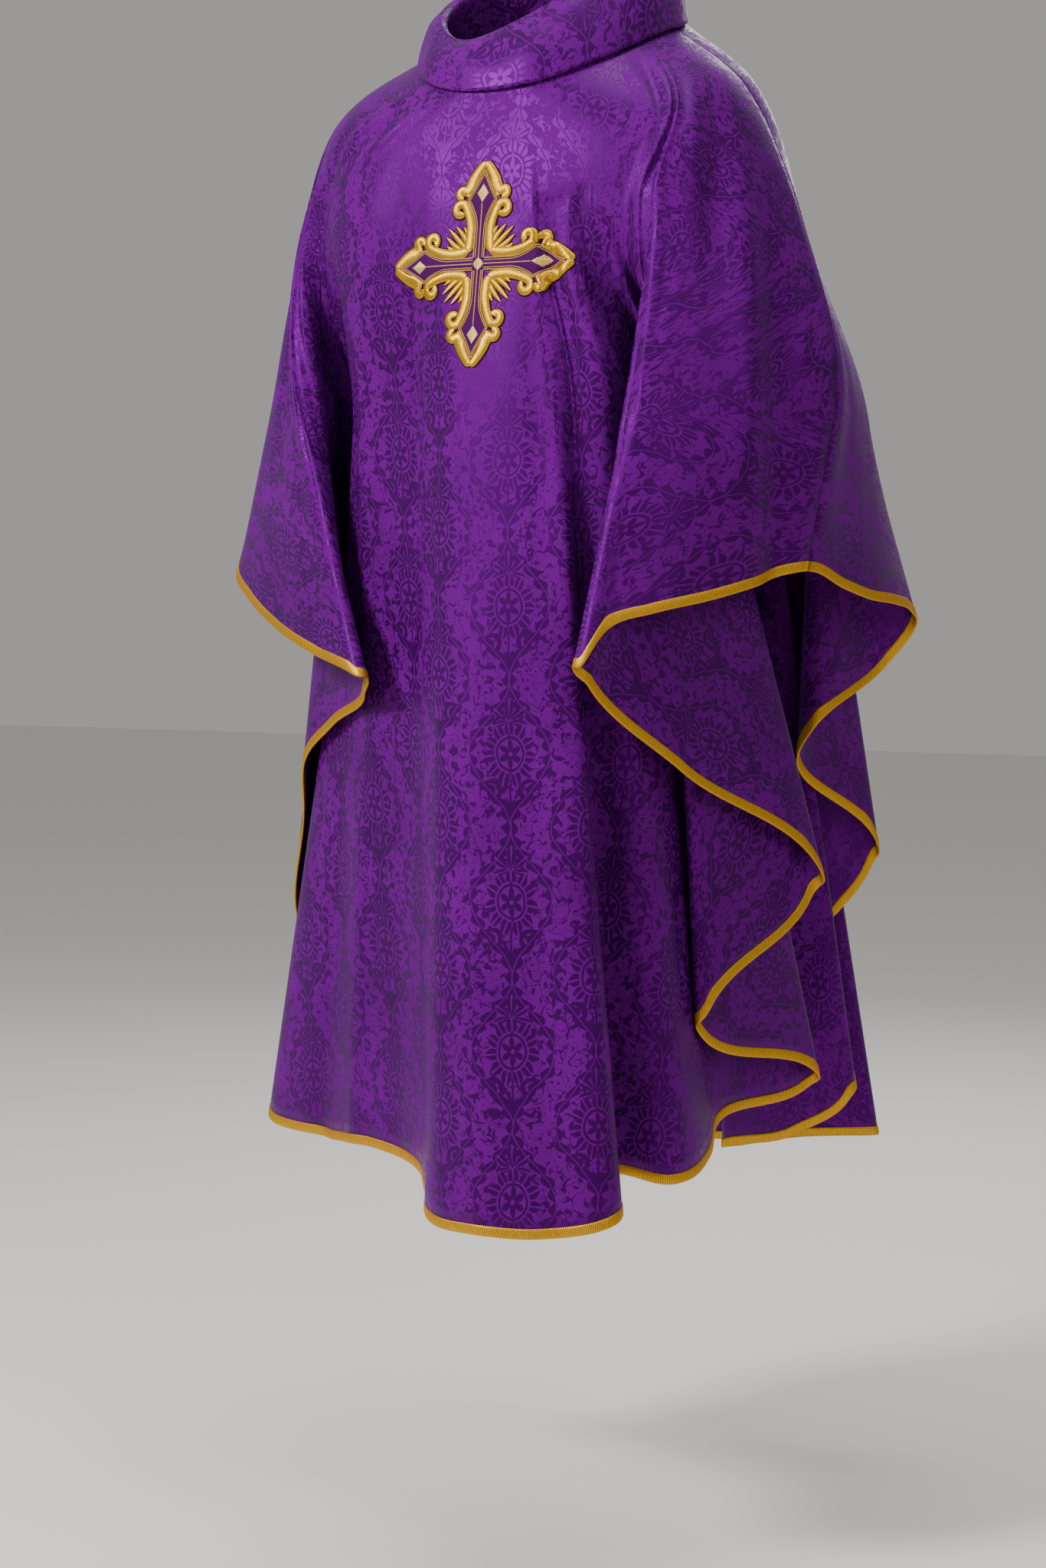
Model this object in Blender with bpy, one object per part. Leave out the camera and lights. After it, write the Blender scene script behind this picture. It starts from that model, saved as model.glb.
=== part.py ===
# Chasuble: a full, sleeveless church vestment, worn and held up at the neck and over both arms.
# Each sewn piece is one closed solid. Metres, +Z up. The wearer faces -Y, so the wearer's left is +X.
# The origin is the middle of the neck opening, where the garment hangs from its wearer.
import math

import bmesh
import bpy
import numpy as np
from mathutils import Vector
from mathutils.bvhtree import BVHTree

# cloth and trim
cloth_wall = 0.002           # damask, as a solid wall
binding_wall = 0.003         # braid folded round the raw edge, both faces and the cloth between
binding_width = 0.010
collar_wall = 0.0022         # doubled cloth
emblem_wall = 0.0022         # padded embroidery on its own backing
seam_gap = 0.0003            # between neighbouring pieces, so that no two solids share space
binding_gap = 0.0012         # the same along the binding, whose edge is cut into facets
sewn_gap = 0.0005            # between the garment and a piece laid on top of it
emblem_lift = 0.0021         # the same for the stiff cross, which bridges the facets under it

# the body that the cloth hangs on, by level
neck_half_width, neck_front, neck_back = 0.129, 0.144, 0.084
neck_side_z = 0.005
shoulder_half_width, shoulder_front, shoulder_back = 0.229, 0.151, 0.090
shoulder_side_z, shoulder_front_drop, shoulder_back_rise = -0.066, 0.058, 0.022
shoulder_shift_x = -0.012
chest_half_width, chest_front, chest_back = 0.280, 0.163, 0.114
chest_shift_x = -0.008
chest_z = -0.190
elbow_half_width, elbow_front, elbow_back = 0.318, 0.185, 0.165
elbow_z = -0.400

# collar
collar_ring_half_width, collar_ring_front, collar_ring_back = 0.113, 0.115, 0.060
collar_ring_shift_x = -0.010
collar_height, collar_lean, collar_back_rise = 0.062, 0.020, 0.012
collar_dip, collar_dip_deg, collar_dip_spread = 0.008, -18.0, 25.0

# embroidered cross, as a radius for each bearing from the middle of an arm
cross_radius = 0.110
cross_centre_x, cross_centre_z = 0.005, -0.245
cross_outline = (            # bearing from the arm's axis in degrees, share of the radius
    (0.0, 1.000), (2.0, 0.955), (5.0, 0.895), (8.5, 0.825), (11.5, 0.765), (14.5, 0.752),
    (18.0, 0.760), (20.0, 0.715), (22.0, 0.668), (26.0, 0.640), (29.0, 0.560), (32.5, 0.440),
    (37.0, 0.415), (41.0, 0.440), (45.0, 0.450))

# folds of the front, from the wearer's right arm line to the left one
# name, chest bearing (0 = front, 90 = wearer's left), out from the chest line, elbow x and y, hem x, y and z
front_folds = (
    ("right arm line",             -90.0,  0.000, -0.345,  0.000, -0.370, -0.030, -0.520),
    ("right cuff outer",           -79.0,  0.000, -0.322, -0.062, -0.369, -0.063, -0.552),
    ("right cuff 1",               -72.5,  0.000, -0.298, -0.092, -0.329, -0.098, -0.581),
    ("right cuff 2",               -68.0,  0.000, -0.270, -0.115, -0.271, -0.134, -0.610),
    ("right cuff 3",               -64.5,  0.002, -0.250, -0.126, -0.190, -0.179, -0.637),
    ("right wrist ridge",          -62.0,  0.004, -0.234, -0.131, -0.115, -0.205, -0.659),
    ("right wrist turn",           -60.5, -0.002, -0.227, -0.119, -0.128, -0.178, -0.678),
    ("right under wrist",          -58.5, -0.004, -0.228, -0.096, -0.210, -0.117, -0.715),
    ("right side edge",            -56.0, -0.006, -0.234, -0.072, -0.267, -0.085, -0.757),
    ("right side edge, lower",     -54.0, -0.007, -0.239, -0.058, -0.285, -0.060, -0.815),
    ("right side trough",          -51.5, -0.008, -0.241, -0.044, -0.335,  0.000, -0.935),
    ("right side fold",            -48.5, -0.008, -0.226, -0.032, -0.345,  0.085, -1.015),
    ("right corner, back",         -45.0, -0.006, -0.206, -0.048, -0.314, -0.004, -1.110),
    ("right corner",               -41.0, -0.003, -0.191, -0.076, -0.330, -0.060, -1.139),
    ("right front slope",          -32.5,  0.000, -0.182, -0.107, -0.235, -0.108, -1.153),
    ("right front ridge",          -24.5,  0.002, -0.150, -0.138, -0.140, -0.150, -1.150),
    ("right front trough",         -16.0, -0.002, -0.100, -0.157, -0.087, -0.166, -1.157),
    ("box fold foot",              -10.5, -0.001, -0.070, -0.167, -0.052, -0.192, -1.164),
    ("box fold corner",             -7.0,  0.000, -0.052, -0.178, -0.013, -0.250, -1.188),
    ("box fold, right part",        -3.5,  0.000, -0.026, -0.190,  0.020, -0.277, -1.196),
    ("front middle",                 0.5,  0.000,  0.008, -0.193,  0.069, -0.283, -1.198),
    ("box fold, left part",          6.0,  0.000,  0.054, -0.191,  0.132, -0.270, -1.199),
    ("box fold far corner",         11.0,  0.002,  0.098, -0.186,  0.193, -0.235, -1.187),
    ("box fold return",             13.0,  0.000,  0.116, -0.172,  0.139, -0.139, -1.157),
    ("left front ridge",            16.0,  0.000,  0.142, -0.166,  0.199, -0.116, -1.163),
    ("left front turn",             18.5,  0.000,  0.155, -0.145,  0.203, -0.045, -1.145),
    ("cascade trough 1",            21.0,  0.000,  0.159, -0.112,  0.190, -0.005, -1.120),
    ("cascade fold 1",              24.0,  0.000,  0.172, -0.055,  0.244,  0.106, -1.085),
    ("cascade trough 2",            27.0,  0.000,  0.180, -0.092,  0.207, -0.065, -1.005),
    ("cascade fold 2",              30.0,  0.000,  0.197, -0.045,  0.273,  0.054, -0.873),
    ("cascade trough 3",            33.0,  0.000,  0.194, -0.112,  0.210, -0.121, -0.750),
    ("left wrist turn",             36.0,  0.000,  0.185, -0.155,  0.162, -0.226, -0.662),
    ("left wrist ridge",            39.0,  0.003,  0.180, -0.180,  0.161, -0.242, -0.644),
    ("left cuff 1",                 43.0,  0.003,  0.196, -0.183,  0.185, -0.216, -0.603),
    ("left cuff 2",                 50.0,  0.000,  0.224, -0.165,  0.213, -0.189, -0.592),
    ("left cuff 3",                 60.0,  0.000,  0.258, -0.132,  0.251, -0.138, -0.579),
    ("left cuff outer",             72.0,  0.000,  0.292, -0.086,  0.285, -0.078, -0.562),
    ("left arm line",               90.0,  0.000,  0.320, -0.020,  0.303, -0.033, -0.551),
)
# folds of the back, from the left arm line round to the right one, the same columns
back_folds = (
    ("left cuff back 1",            96.0,  0.000,  0.322,  0.025,  0.314,  0.031, -0.569),
    ("left cuff back 2",           105.0,  0.000,  0.318,  0.070,  0.322,  0.070, -0.579),
    ("left cuff back 3",           112.0,  0.000,  0.308,  0.100,  0.325,  0.130, -0.585),
    ("left cuff back 4",           117.0,  0.000,  0.296,  0.118,  0.319,  0.184, -0.593),
    ("left cuff back fold",        121.0,  0.000,  0.283,  0.130,  0.312,  0.215, -0.607),
    ("left under arm 1",           124.0,  0.000,  0.262,  0.132,  0.277,  0.218, -0.650),
    ("left under arm 2",           127.0,  0.000,  0.248,  0.124,  0.231,  0.133, -0.717),
    ("left under arm trough",      129.0,  0.000,  0.238,  0.118,  0.216,  0.136, -0.736),
    ("left side fold",             137.0,  0.000,  0.222,  0.155,  0.232,  0.284, -0.862),
    ("left side turn",             140.5,  0.000,  0.203,  0.162,  0.194,  0.273, -0.925),
    ("left side trough",           144.0,  0.000,  0.164,  0.150,  0.151,  0.240, -0.970),
    ("left back fold 1",           148.0,  0.000,  0.174,  0.129,  0.223,  0.246, -1.112),
    ("left back slope",            152.0,  0.000,  0.148,  0.121,  0.168,  0.226, -1.165),
    ("left back trough",           156.0,  0.000,  0.130,  0.145,  0.080,  0.236, -1.188),
    ("left back rise",             160.0,  0.000,  0.142,  0.167,  0.129,  0.317, -1.185),
    ("left back fold 2",           164.0,  0.000,  0.150,  0.183,  0.198,  0.357, -1.182),
    ("left back sweep",            171.0,  0.000,  0.105,  0.187,  0.092,  0.342, -1.190),
    ("back middle",                180.0,  0.000,  0.000,  0.178,  0.000,  0.330, -1.200),
    ("right back sweep",           189.0,  0.000, -0.108,  0.185, -0.100,  0.340, -1.195),
    ("right back fold 2",          196.0,  0.000, -0.155,  0.181, -0.205,  0.350, -1.186),
    ("right back rise",            200.0,  0.000, -0.148,  0.165, -0.135,  0.312, -1.180),
    ("right back trough",          204.0,  0.000, -0.135,  0.143, -0.088,  0.234, -1.188),
    ("right back slope",           208.0,  0.000, -0.153,  0.119, -0.172,  0.222, -1.163),
    ("right back fold 1",          212.0,  0.000, -0.180,  0.128, -0.230,  0.240, -1.105),
    ("right side back trough",     215.5,  0.000, -0.170,  0.149, -0.158,  0.234, -0.962),
    ("right side turn",            218.5,  0.000, -0.207,  0.160, -0.200,  0.268, -0.918),
    ("right side back fold",       223.0,  0.000, -0.228,  0.152, -0.238,  0.278, -0.858),
    ("right under arm trough",     232.0,  0.000, -0.244,  0.115, -0.226,  0.132, -0.734),
    ("right under arm 2",          234.0,  0.000, -0.254,  0.120, -0.242,  0.130, -0.714),
    ("right under arm 1",          237.0,  0.000, -0.270,  0.128, -0.290,  0.212, -0.648),
    ("right cuff back fold",       241.0,  0.000, -0.294,  0.126, -0.332,  0.190, -0.604),
    ("right cuff back 2",          251.0,  0.000, -0.322,  0.090, -0.352,  0.110, -0.570),
    ("right cuff back 1",          261.0,  0.000, -0.337,  0.048, -0.364,  0.045, -0.542),
)

# where the garment is cut into facets
fold_turn = 95.0             # the hem turns back on itself where it bends by more degrees than this
hem_fold_width, elbow_fold_width = 0.016, 0.009
hem_fold_drop, hem_fold_drop_most = 0.15, 0.028   # height across the fold, as a share of the hem's fall there
hem_fold_steepness = 2.6     # how much steeper the hem runs at such a fold, for each metre of that fall
short_fold_steps = (0.0, 0.5)              # shares of the way from one row of the fold tables to the next
long_fold_steps = (0.0, 0.33, 0.67)        # the same where the rows lie further apart than long_fold
long_fold = 0.12
down_steps = (0.0, 0.5, 1.0, 1.5, 2.0, 2.33, 2.66, 3.0, 3.2, 3.4, 3.6, 3.8)
collar_steps = 44
emblem_rings = (0.18, 0.48, 0.76, 1.0)

colours = {"front_panel": (0.105, 0.003, 0.263), "back_panel": (0.086, 0.003, 0.220),
           "collar": (0.120, 0.004, 0.290), "front_binding": (0.560, 0.343, 0.085),
           "back_binding": (0.500, 0.300, 0.070), "cross_emblem": (0.623, 0.402, 0.107)}


def unit(v):
    return v / np.linalg.norm(v, axis=1)[:, None]


def unit1(v):
    return v / np.linalg.norm(v)


def through(before, after):
    """The way that a smooth curve passes a point, from the steps to it and from it."""
    a, b = np.linalg.norm(before), np.linalg.norm(after)
    return unit1(before / a * b + after / b * a)


def sideways(before, after):
    """Across a fold, from the layer that comes to it to the layer that leaves it."""
    tip = unit1(unit1(before) - unit1(after))
    left_turn = before[0] * after[1] - before[1] * after[0] > 0
    return np.array([-tip[1], tip[0]]) if left_turn else np.array([tip[1], -tip[0]])


def hermite(p0, m0, p1, m1, t):
    """Cubic from p0 to p1 with end slopes m0 and m1."""
    t2, t3 = t * t, t * t * t
    return (2 * t3 - 3 * t2 + 1) * p0 + (t3 - 2 * t2 + t) * m0 + (3 * t2 - 2 * t3) * p1 + (t3 - t2) * m1


def oval(bearing, half_width, front, back, square=2.35):
    """A squared oval: x and y at each bearing, with its own depth in front and at the back."""
    s, c = np.sin(bearing), np.cos(bearing)
    depth = np.where(c > 0, front, back)
    return (half_width * np.sign(s) * np.abs(s) ** (2 / square),
            -depth * np.sign(c) * np.abs(c) ** (2 / square))


class Garment:
    """The garment's middle surface. u runs along the hem in metres from the right arm line through the
    front, the left arm line and the back. v runs down: 0 neck seam, 1 shoulder, 2 chest, 3 elbow, 4 hem."""

    def __init__(self):
        rows = front_folds + back_folds
        names = [row[0] for row in rows]
        table = np.array([row[1:] for row in rows])
        count = len(rows)
        hem_flat, elbow = table[:, 4:6], table[:, 2:4]
        hem_before = hem_flat - np.roll(hem_flat, 1, axis=0)
        hem_after = np.roll(hem_flat, -1, axis=0) - hem_flat
        turned = (unit(hem_before) * unit(hem_after)).sum(1) < math.cos(math.radians(fold_turn))
        places, elbows, hems, elbow_ways, hem_ways, tips = [], [], [], [], [], []
        for i in range(count):
            before, after = (i - 1) % count, (i + 1) % count
            hem_in, hem_out = table[i, 4:7] - table[before, 4:7], table[after, 4:7] - table[i, 4:7]
            elbow_in, elbow_out = elbow[i] - elbow[before], elbow[after] - elbow[i]
            if not turned[i]:
                places.append(i)
                elbows.append(elbow[i])
                hems.append(table[i, 4:7])
                elbow_ways.append(through(elbow_in, elbow_out))
                hem_ways.append(through(hem_in, hem_out))
                tips.append(False)
                continue
            # a turned fold is a narrow U: two rows side by side, so its two layers never touch
            fall = hem_in[2] + hem_out[2]
            drop = np.clip(fall * hem_fold_drop, -hem_fold_drop_most, hem_fold_drop_most)
            steeper = np.array([0.0, 0.0, np.clip(fall * hem_fold_steepness, -0.6, 0.6)])
            hem_side = np.append(sideways(hem_in[:2], hem_out[:2]) * hem_fold_width, drop) / 2
            room = min(np.linalg.norm(elbow_in), np.linalg.norm(elbow_out))
            elbow_side = sideways(elbow_in, elbow_out) * min(elbow_fold_width, room * 0.45) / 2
            bent = (elbow_in @ elbow_out) < 0
            for end, sign in enumerate((-1.0, 1.0)):
                places.append(i)
                elbows.append(elbow[i] + sign * elbow_side)
                hems.append(table[i, 4:7] + sign * hem_side)
                hem_ways.append(unit1(unit1(hem_out if end else hem_in) + steeper))
                elbow_ways.append(unit1(elbow_out if end else elbow_in) if bent else through(elbow_in, elbow_out))
                tips.append(end == 0)
        self.elbows, self.hems = np.array(elbows), np.array(hems)
        self.elbow_ways, self.hem_ways = np.array(elbow_ways), np.array(hem_ways)
        self.tips = np.array(tips)
        self.count = len(places)
        chord = np.linalg.norm(np.roll(self.hems, -1, axis=0) - self.hems, axis=1)
        self.u = np.concatenate([[0.0], np.cumsum(np.where(self.tips, chord * math.pi / 2, chord))])
        self.left_arm = places.index(names.index("left arm line"))
        self.u_left = self.u[self.left_arm]
        u_middle = self.u[places.index(names.index("front middle"))]
        # the neck edge is shared out by the hem's length, as the cut is
        neck = np.interp(self.u, [0.0, u_middle, self.u_left, self.u[-1]], [-90.0, 0.0, 90.0, 270.0])
        shared = np.column_stack([table[places, 0], table[places, 1], neck[:-1]])
        for i in np.nonzero(self.tips)[0]:
            near = min((shared[(i + 2) % self.count, 0] - shared[i, 0]) % 360.0, (shared[i, 0] - shared[i - 1, 0]) % 360.0)
            shared[i, 0] -= near * 0.2
            shared[i + 1, 0] += near * 0.2
        turn = np.array([[360.0, 0.0, 360.0]])
        self.keys = np.concatenate([self.u[:-1] - self.u[-1], self.u[:-1], self.u + self.u[-1]])
        self.shared = np.concatenate([shared - turn, shared, shared + turn, shared[:1] + 2 * turn])
        step = np.diff(self.keys)[:, None]
        slope = np.diff(self.shared, axis=0) / step
        left, right = slope[:-1], slope[1:]
        same_way = left * right > 0
        inner = np.where(same_way, 2 * left * right / np.where(same_way, left + right, 1.0), 0.0)
        self.slopes = np.concatenate([inner[:1], inner, inner[-1:]])

    def bend(self, places, ways, i, t):
        """A smooth curve through the places, leaving each along its way; a tip is a half circle."""
        j = (i + 1) % self.count
        chord = np.linalg.norm(places[j] - places[i], axis=1)[:, None]
        pull = chord * np.where(self.tips[i], 2.0, 1.0)[:, None]
        return hermite(places[i], ways[i] * pull, places[j], ways[j] * pull, t)

    def row(self, u):
        """Chest bearing, chest rise, neck bearing, elbow place and hem place of the threads at u."""
        k = np.clip(np.searchsorted(self.keys, u, side="right") - 1, 0, len(self.keys) - 2)
        h = (self.keys[k + 1] - self.keys[k])[:, None]
        t = ((u - self.keys[k]) / h[:, 0])[:, None]
        shared = hermite(self.shared[k], self.slopes[k] * h, self.shared[k + 1], self.slopes[k + 1] * h, t)
        i = k % self.count
        return (shared[:, 0], shared[:, 1], shared[:, 2], self.bend(self.elbows, self.elbow_ways, i, t),
                self.bend(self.hems, self.hem_ways, i, t))

    def levels(self, u):
        """The neck, shoulder, chest, elbow and hem points of the threads at u."""
        chest_deg, chest_out, neck_deg, elbow, hem = self.row(u)
        chest_at, neck_at = np.radians(chest_deg), np.radians(neck_deg)
        x, y = oval(neck_at, neck_half_width, neck_front, neck_back, 2.15)
        z = neck_side_z + np.where(y < 0, 0.30 * y - 0.185 * y * y / neck_front, 0.35 * y)
        neck = np.column_stack([x, y, z])
        x, y = oval((chest_at + neck_at) / 2, shoulder_half_width, shoulder_front, shoulder_back, 2.6)
        z = (shoulder_side_z - shoulder_front_drop * np.clip(-y / shoulder_front, 0, 1) ** 2
             + shoulder_back_rise * np.clip(y / shoulder_back, 0, 1))
        shoulder = np.column_stack([x + shoulder_shift_x, y, z])
        x, y = oval(chest_at, chest_half_width, chest_front, chest_back)
        out = unit(np.column_stack([x, y])) * chest_out[:, None]
        chest = np.column_stack([x + out[:, 0] + chest_shift_x, y + out[:, 1], np.full(len(u), chest_z)])
        x, y = oval(chest_at, elbow_half_width, elbow_front, elbow_back)
        hang = np.column_stack([x + chest_shift_x, y, np.full(len(u), elbow_z)])
        return neck, shoulder, chest, np.column_stack([elbow, np.full(len(u), elbow_z)]), hem, hang

    def points(self, u, v):
        """Smooth from neck to elbow; below the elbow each thread hangs straight to the hem."""
        neck, shoulder, chest, elbow, hem, hang = self.levels(u)
        v = v[:, None]
        size = [np.linalg.norm(b - a, axis=1)[:, None] for a, b in
                ((neck, shoulder), (shoulder, chest), (chest, elbow))]
        at_neck, at_shoulder, at_chest, at_elbow = (
            unit(shoulder - neck), unit(chest - neck), unit(hang - shoulder), unit(hem - elbow))
        yoke = hermite(neck, at_neck * size[0], shoulder, at_shoulder * size[0], np.clip(v, 0, 1))
        chest_part = hermite(shoulder, at_shoulder * size[1], chest, at_chest * size[1], np.clip(v - 1, 0, 1))
        arm_part = hermite(chest, at_chest * size[2], elbow, at_elbow * size[2], np.clip(v - 2, 0, 1))
        skirt = elbow + (hem - elbow) * (v - 3)
        return np.where(v <= 1, yoke, np.where(v <= 2, chest_part, np.where(v <= 3, arm_part, skirt)))

    def outward(self, u, v):
        """Unit normals out of the garment."""
        e = 1e-4
        across = self.points(u + e, v) - self.points(u - e, v)
        down = self.points(u, np.minimum(v + e, 4.2)) - self.points(u, np.maximum(v - e, 0.0))
        return unit(np.cross(down, across))

    def edge_step(self, u, width):
        """How far up in v an edge strip of this true width reaches from the hem."""
        elbow, hem = self.levels(u)[3:5]
        thread = hem - elbow
        length = np.linalg.norm(thread, axis=1)
        e = 1e-3
        along = unit(self.levels(u + e)[4] - self.levels(u - e)[4])
        lean = np.abs((along * thread).sum(1)) / length
        return width / np.sqrt(1 - np.clip(lean, 0, 0.82) ** 2) / length


def new_object(name, verts, faces):
    """A mesh object of the vertices and faces, facing out, with its own material."""
    bm = bmesh.new()
    made = [bm.verts.new(v) for v in verts]
    for face in faces:
        bm.faces.new([made[i] for i in face])
    bmesh.ops.triangulate(bm, faces=bm.faces[:])
    bmesh.ops.recalc_face_normals(bm, faces=bm.faces[:])
    if bm.calc_volume(signed=True) < 0:
        bmesh.ops.reverse_faces(bm, faces=bm.faces[:])
    mesh = bpy.data.meshes.new(name)
    bm.to_mesh(mesh)
    bm.free()
    obj = bpy.data.objects.new(name, mesh)
    bpy.context.collection.objects.link(obj)
    material = bpy.data.materials.new(name)
    material.use_nodes = True
    shader = material.node_tree.nodes["Principled BSDF"]
    shader.inputs["Base Color"].default_value = (*colours[name], 1.0)
    shader.inputs["Roughness"].default_value = 0.6
    mesh.materials.append(material)
    return obj


def walled(name, outer, inner, across, down, ring):
    """A closed wall between two grids of points, each across x down; a ring joins its last column to its first."""
    n = across * down

    def at(side, i, j):
        return side * n + (i % across) * down + j

    faces = []
    for i in range(across if ring else across - 1):
        for j in range(down - 1):
            # both sides of the wall are cut along the same diagonal, the shorter one
            a, b, c, d = at(0, i, j), at(0, i, j + 1), at(0, i + 1, j + 1), at(0, i + 1, j)
            if np.linalg.norm(outer[a] - outer[c]) > np.linalg.norm(outer[b] - outer[d]):
                a, b, c, d = b, c, d, a
            faces += [(a, b, c), (a, c, d), (a + n, c + n, b + n), (a + n, d + n, c + n)]
        for j in (0, down - 1):
            faces.append((at(0, i, j), at(0, i + 1, j), at(1, i + 1, j), at(1, i, j)))
    if not ring:
        for i in (0, across - 1):
            for j in range(down - 1):
                faces.append((at(0, i, j), at(0, i, j + 1), at(1, i, j + 1), at(1, i, j)))
    return new_object(name, np.concatenate([outer, inner]), faces)


def facet_columns(garment, start, end):
    """u at every fold row and at steps between, closer to the bends where the rows lie far apart."""
    u = garment.u[start:end + 1]
    steps = [a + (b - a) * np.array(long_fold_steps if b - a > long_fold else short_fold_steps)
             for a, b in zip(u[:-1], u[1:])]
    return np.concatenate(steps + [u[-1:]])


def cloth_piece(garment, name, columns, v, wall):
    """A wall of the garment over the columns, with v given for each column and step."""
    across, down = v.shape
    u = np.repeat(columns, down)
    middle = garment.points(u, v.ravel())
    normal = garment.outward(u, v.ravel())
    grid = middle.reshape(across, down, 3)
    # the two ends stand back from the arm seam by half a gap each
    for end, beside in ((0, 1), (-1, -2)):
        grid[end] += unit(grid[beside] - grid[end]) * seam_gap * 0.6
    middle = grid.reshape(-1, 3)
    return walled(name, middle + normal * wall / 2, middle - normal * wall / 2, across, down, False)


def make_panel(garment, side, start, end):
    columns = facet_columns(garment, start, end)
    low = 4.0 - garment.edge_step(columns, binding_width + binding_gap)
    v = np.column_stack([np.full(len(columns), s) for s in down_steps] + [low])
    return cloth_piece(garment, side + "_panel", columns, v, cloth_wall)


def make_binding(garment, side, start, end):
    columns = facet_columns(garment, start, end)
    top = 4.0 - garment.edge_step(columns, binding_width)
    v = np.column_stack([top, (top + 4.0) / 2, np.full(len(columns), 4.0)])
    return cloth_piece(garment, side + "_binding", columns, v, binding_wall)


def make_collar(garment):
    """A roll collar: up inside from the neck seam, over, and down outside to a free edge on the shoulders."""
    u = np.linspace(0.0, garment.u[-1], collar_steps, endpoint=False)
    # even bearings round the neck rather than even steps of hem
    bearing = np.linspace(-90.0, 270.0, collar_steps, endpoint=False)
    table_u = np.linspace(0.0, garment.u[-1], 800)
    u = np.interp(bearing, garment.row(table_u)[2], table_u)
    at = np.radians(bearing)
    seam = garment.points(u, np.zeros(collar_steps))
    seam_in = seam - unit(garment.points(u, np.full(collar_steps, 0.1)) - seam) * 0.0026
    lay = cloth_wall / 2 + collar_wall / 2 + sewn_gap + 0.0010
    free = garment.points(u, np.full(collar_steps, 0.10)) + garment.outward(u, np.full(collar_steps, 0.10)) * lay
    x, y = oval(at, collar_ring_half_width, collar_ring_front, collar_ring_back, 2.1)
    dip = collar_dip * np.exp(-(((bearing - collar_dip_deg + 180) % 360 - 180) / collar_dip_spread) ** 2)
    height = collar_height + collar_lean * np.sin(at) + collar_back_rise * (1 - np.cos(at)) / 2 - dip
    top = np.column_stack([x + collar_ring_shift_x, y, seam[:, 2] + height])
    out = unit(np.column_stack([x, y, np.zeros(collar_steps)]))
    up = np.array([[0.0, 0.0, 1.0]])
    roll = 0.006             # radius of the fold at the top
    path = [free, free * 0.62 + top * 0.38 + out * 0.0065, free * 0.25 + top * 0.75 + out * 0.0075,
            top + out * roll * 0.75 - up * roll * 0.55, top, top - out * roll - up * roll * 0.8,
            top * 0.62 + seam_in * 0.38 - out * 0.0060, top * 0.25 + seam_in * 0.75 - out * 0.0030, seam_in]
    grid = np.stack(path, axis=1)
    along = np.roll(grid, -1, axis=0) - np.roll(grid, 1, axis=0)
    down = np.gradient(grid, axis=1)
    normal = unit(np.cross(along.reshape(-1, 3), down.reshape(-1, 3)))
    middle = grid.reshape(-1, 3)
    return walled("collar", middle + normal * collar_wall / 2, middle - normal * collar_wall / 2,
                  collar_steps, len(path), True)


def outline_share(bearing_deg):
    """The cross's radius, as a share, at any bearing: the table mirrored about each arm and each corner."""
    folded = np.abs((bearing_deg + 45.0) % 90.0 - 45.0)
    return np.interp(folded, [row[0] for row in cross_outline], [row[1] for row in cross_outline])


def make_emblem(panel):
    """The cross as a thin plate laid on the front: rings of points dropped on the panel's facets from in front."""
    tree = BVHTree.FromPolygons([v.co for v in panel.data.vertices], [p.vertices for p in panel.data.polygons])
    base = [row[0] for row in cross_outline]
    quarter = np.array(base + [90.0 - b for b in base[-2:0:-1]])
    bearing = np.concatenate([quarter + 90.0 * k for k in range(4)])
    flat = [np.zeros((1, 2))]
    for share in emblem_rings:
        r = cross_radius * share * (outline_share(bearing) if share > 0.3 else 0.42 + 0.0 * bearing)
        flat.append(np.column_stack([r * np.sin(np.radians(bearing)), r * np.cos(np.radians(bearing))]))
    flat = np.concatenate(flat)
    hits, normals = [], []
    for x, z in flat:
        hit, normal = tree.ray_cast(Vector((cross_centre_x + x, -1.0, cross_centre_z + z * 0.985)), Vector((0, 1, 0)))[:2]
        hits.append(hit)
        normals.append(normal)
    hits = np.array(hits)
    # one shared direction a point, averaged with its neighbours' so that no facet edge shows through
    normals = np.array(normals)
    smooth = np.array([unit(normals[np.linalg.norm(hits - h, axis=1) < 0.03].mean(0)[None])[0] for h in hits])
    low, high = hits + smooth * emblem_lift, hits + smooth * (emblem_lift + emblem_wall)
    n, count = len(flat), len(bearing)
    faces = []
    for side in (0, 1):
        o = side * n
        for k in range(count):
            j = (k + 1) % count
            faces.append((o, o + 1 + k, o + 1 + j))
            for ring in range(len(emblem_rings) - 1):
                a, b = o + 1 + ring * count, o + 1 + (ring + 1) * count
                faces.append((a + k, b + k, b + j, a + j))
    last = 1 + (len(emblem_rings) - 1) * count
    faces += [(last + k, last + (k + 1) % count, n + last + (k + 1) % count, n + last + k) for k in range(count)]
    return new_object("cross_emblem", np.concatenate([low, high]), faces)


def main():
    for obj in list(bpy.data.objects):
        bpy.data.objects.remove(obj, do_unlink=True)
    garment = Garment()
    spans = {"front": (0, garment.left_arm), "back": (garment.left_arm, len(garment.u) - 1)}
    panels = {side: make_panel(garment, side, *span) for side, span in spans.items()}
    for side, span in spans.items():
        make_binding(garment, side, *span)
    make_collar(garment)
    make_emblem(panels["front"])


main()
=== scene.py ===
# A full chasuble of purple damask, worn and hollow, with a roll collar, gold braid round its hem
# and an embroidered cross on the chest. Metres, +Z up; the front faces -Y, so its own left is +X.
import math

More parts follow.
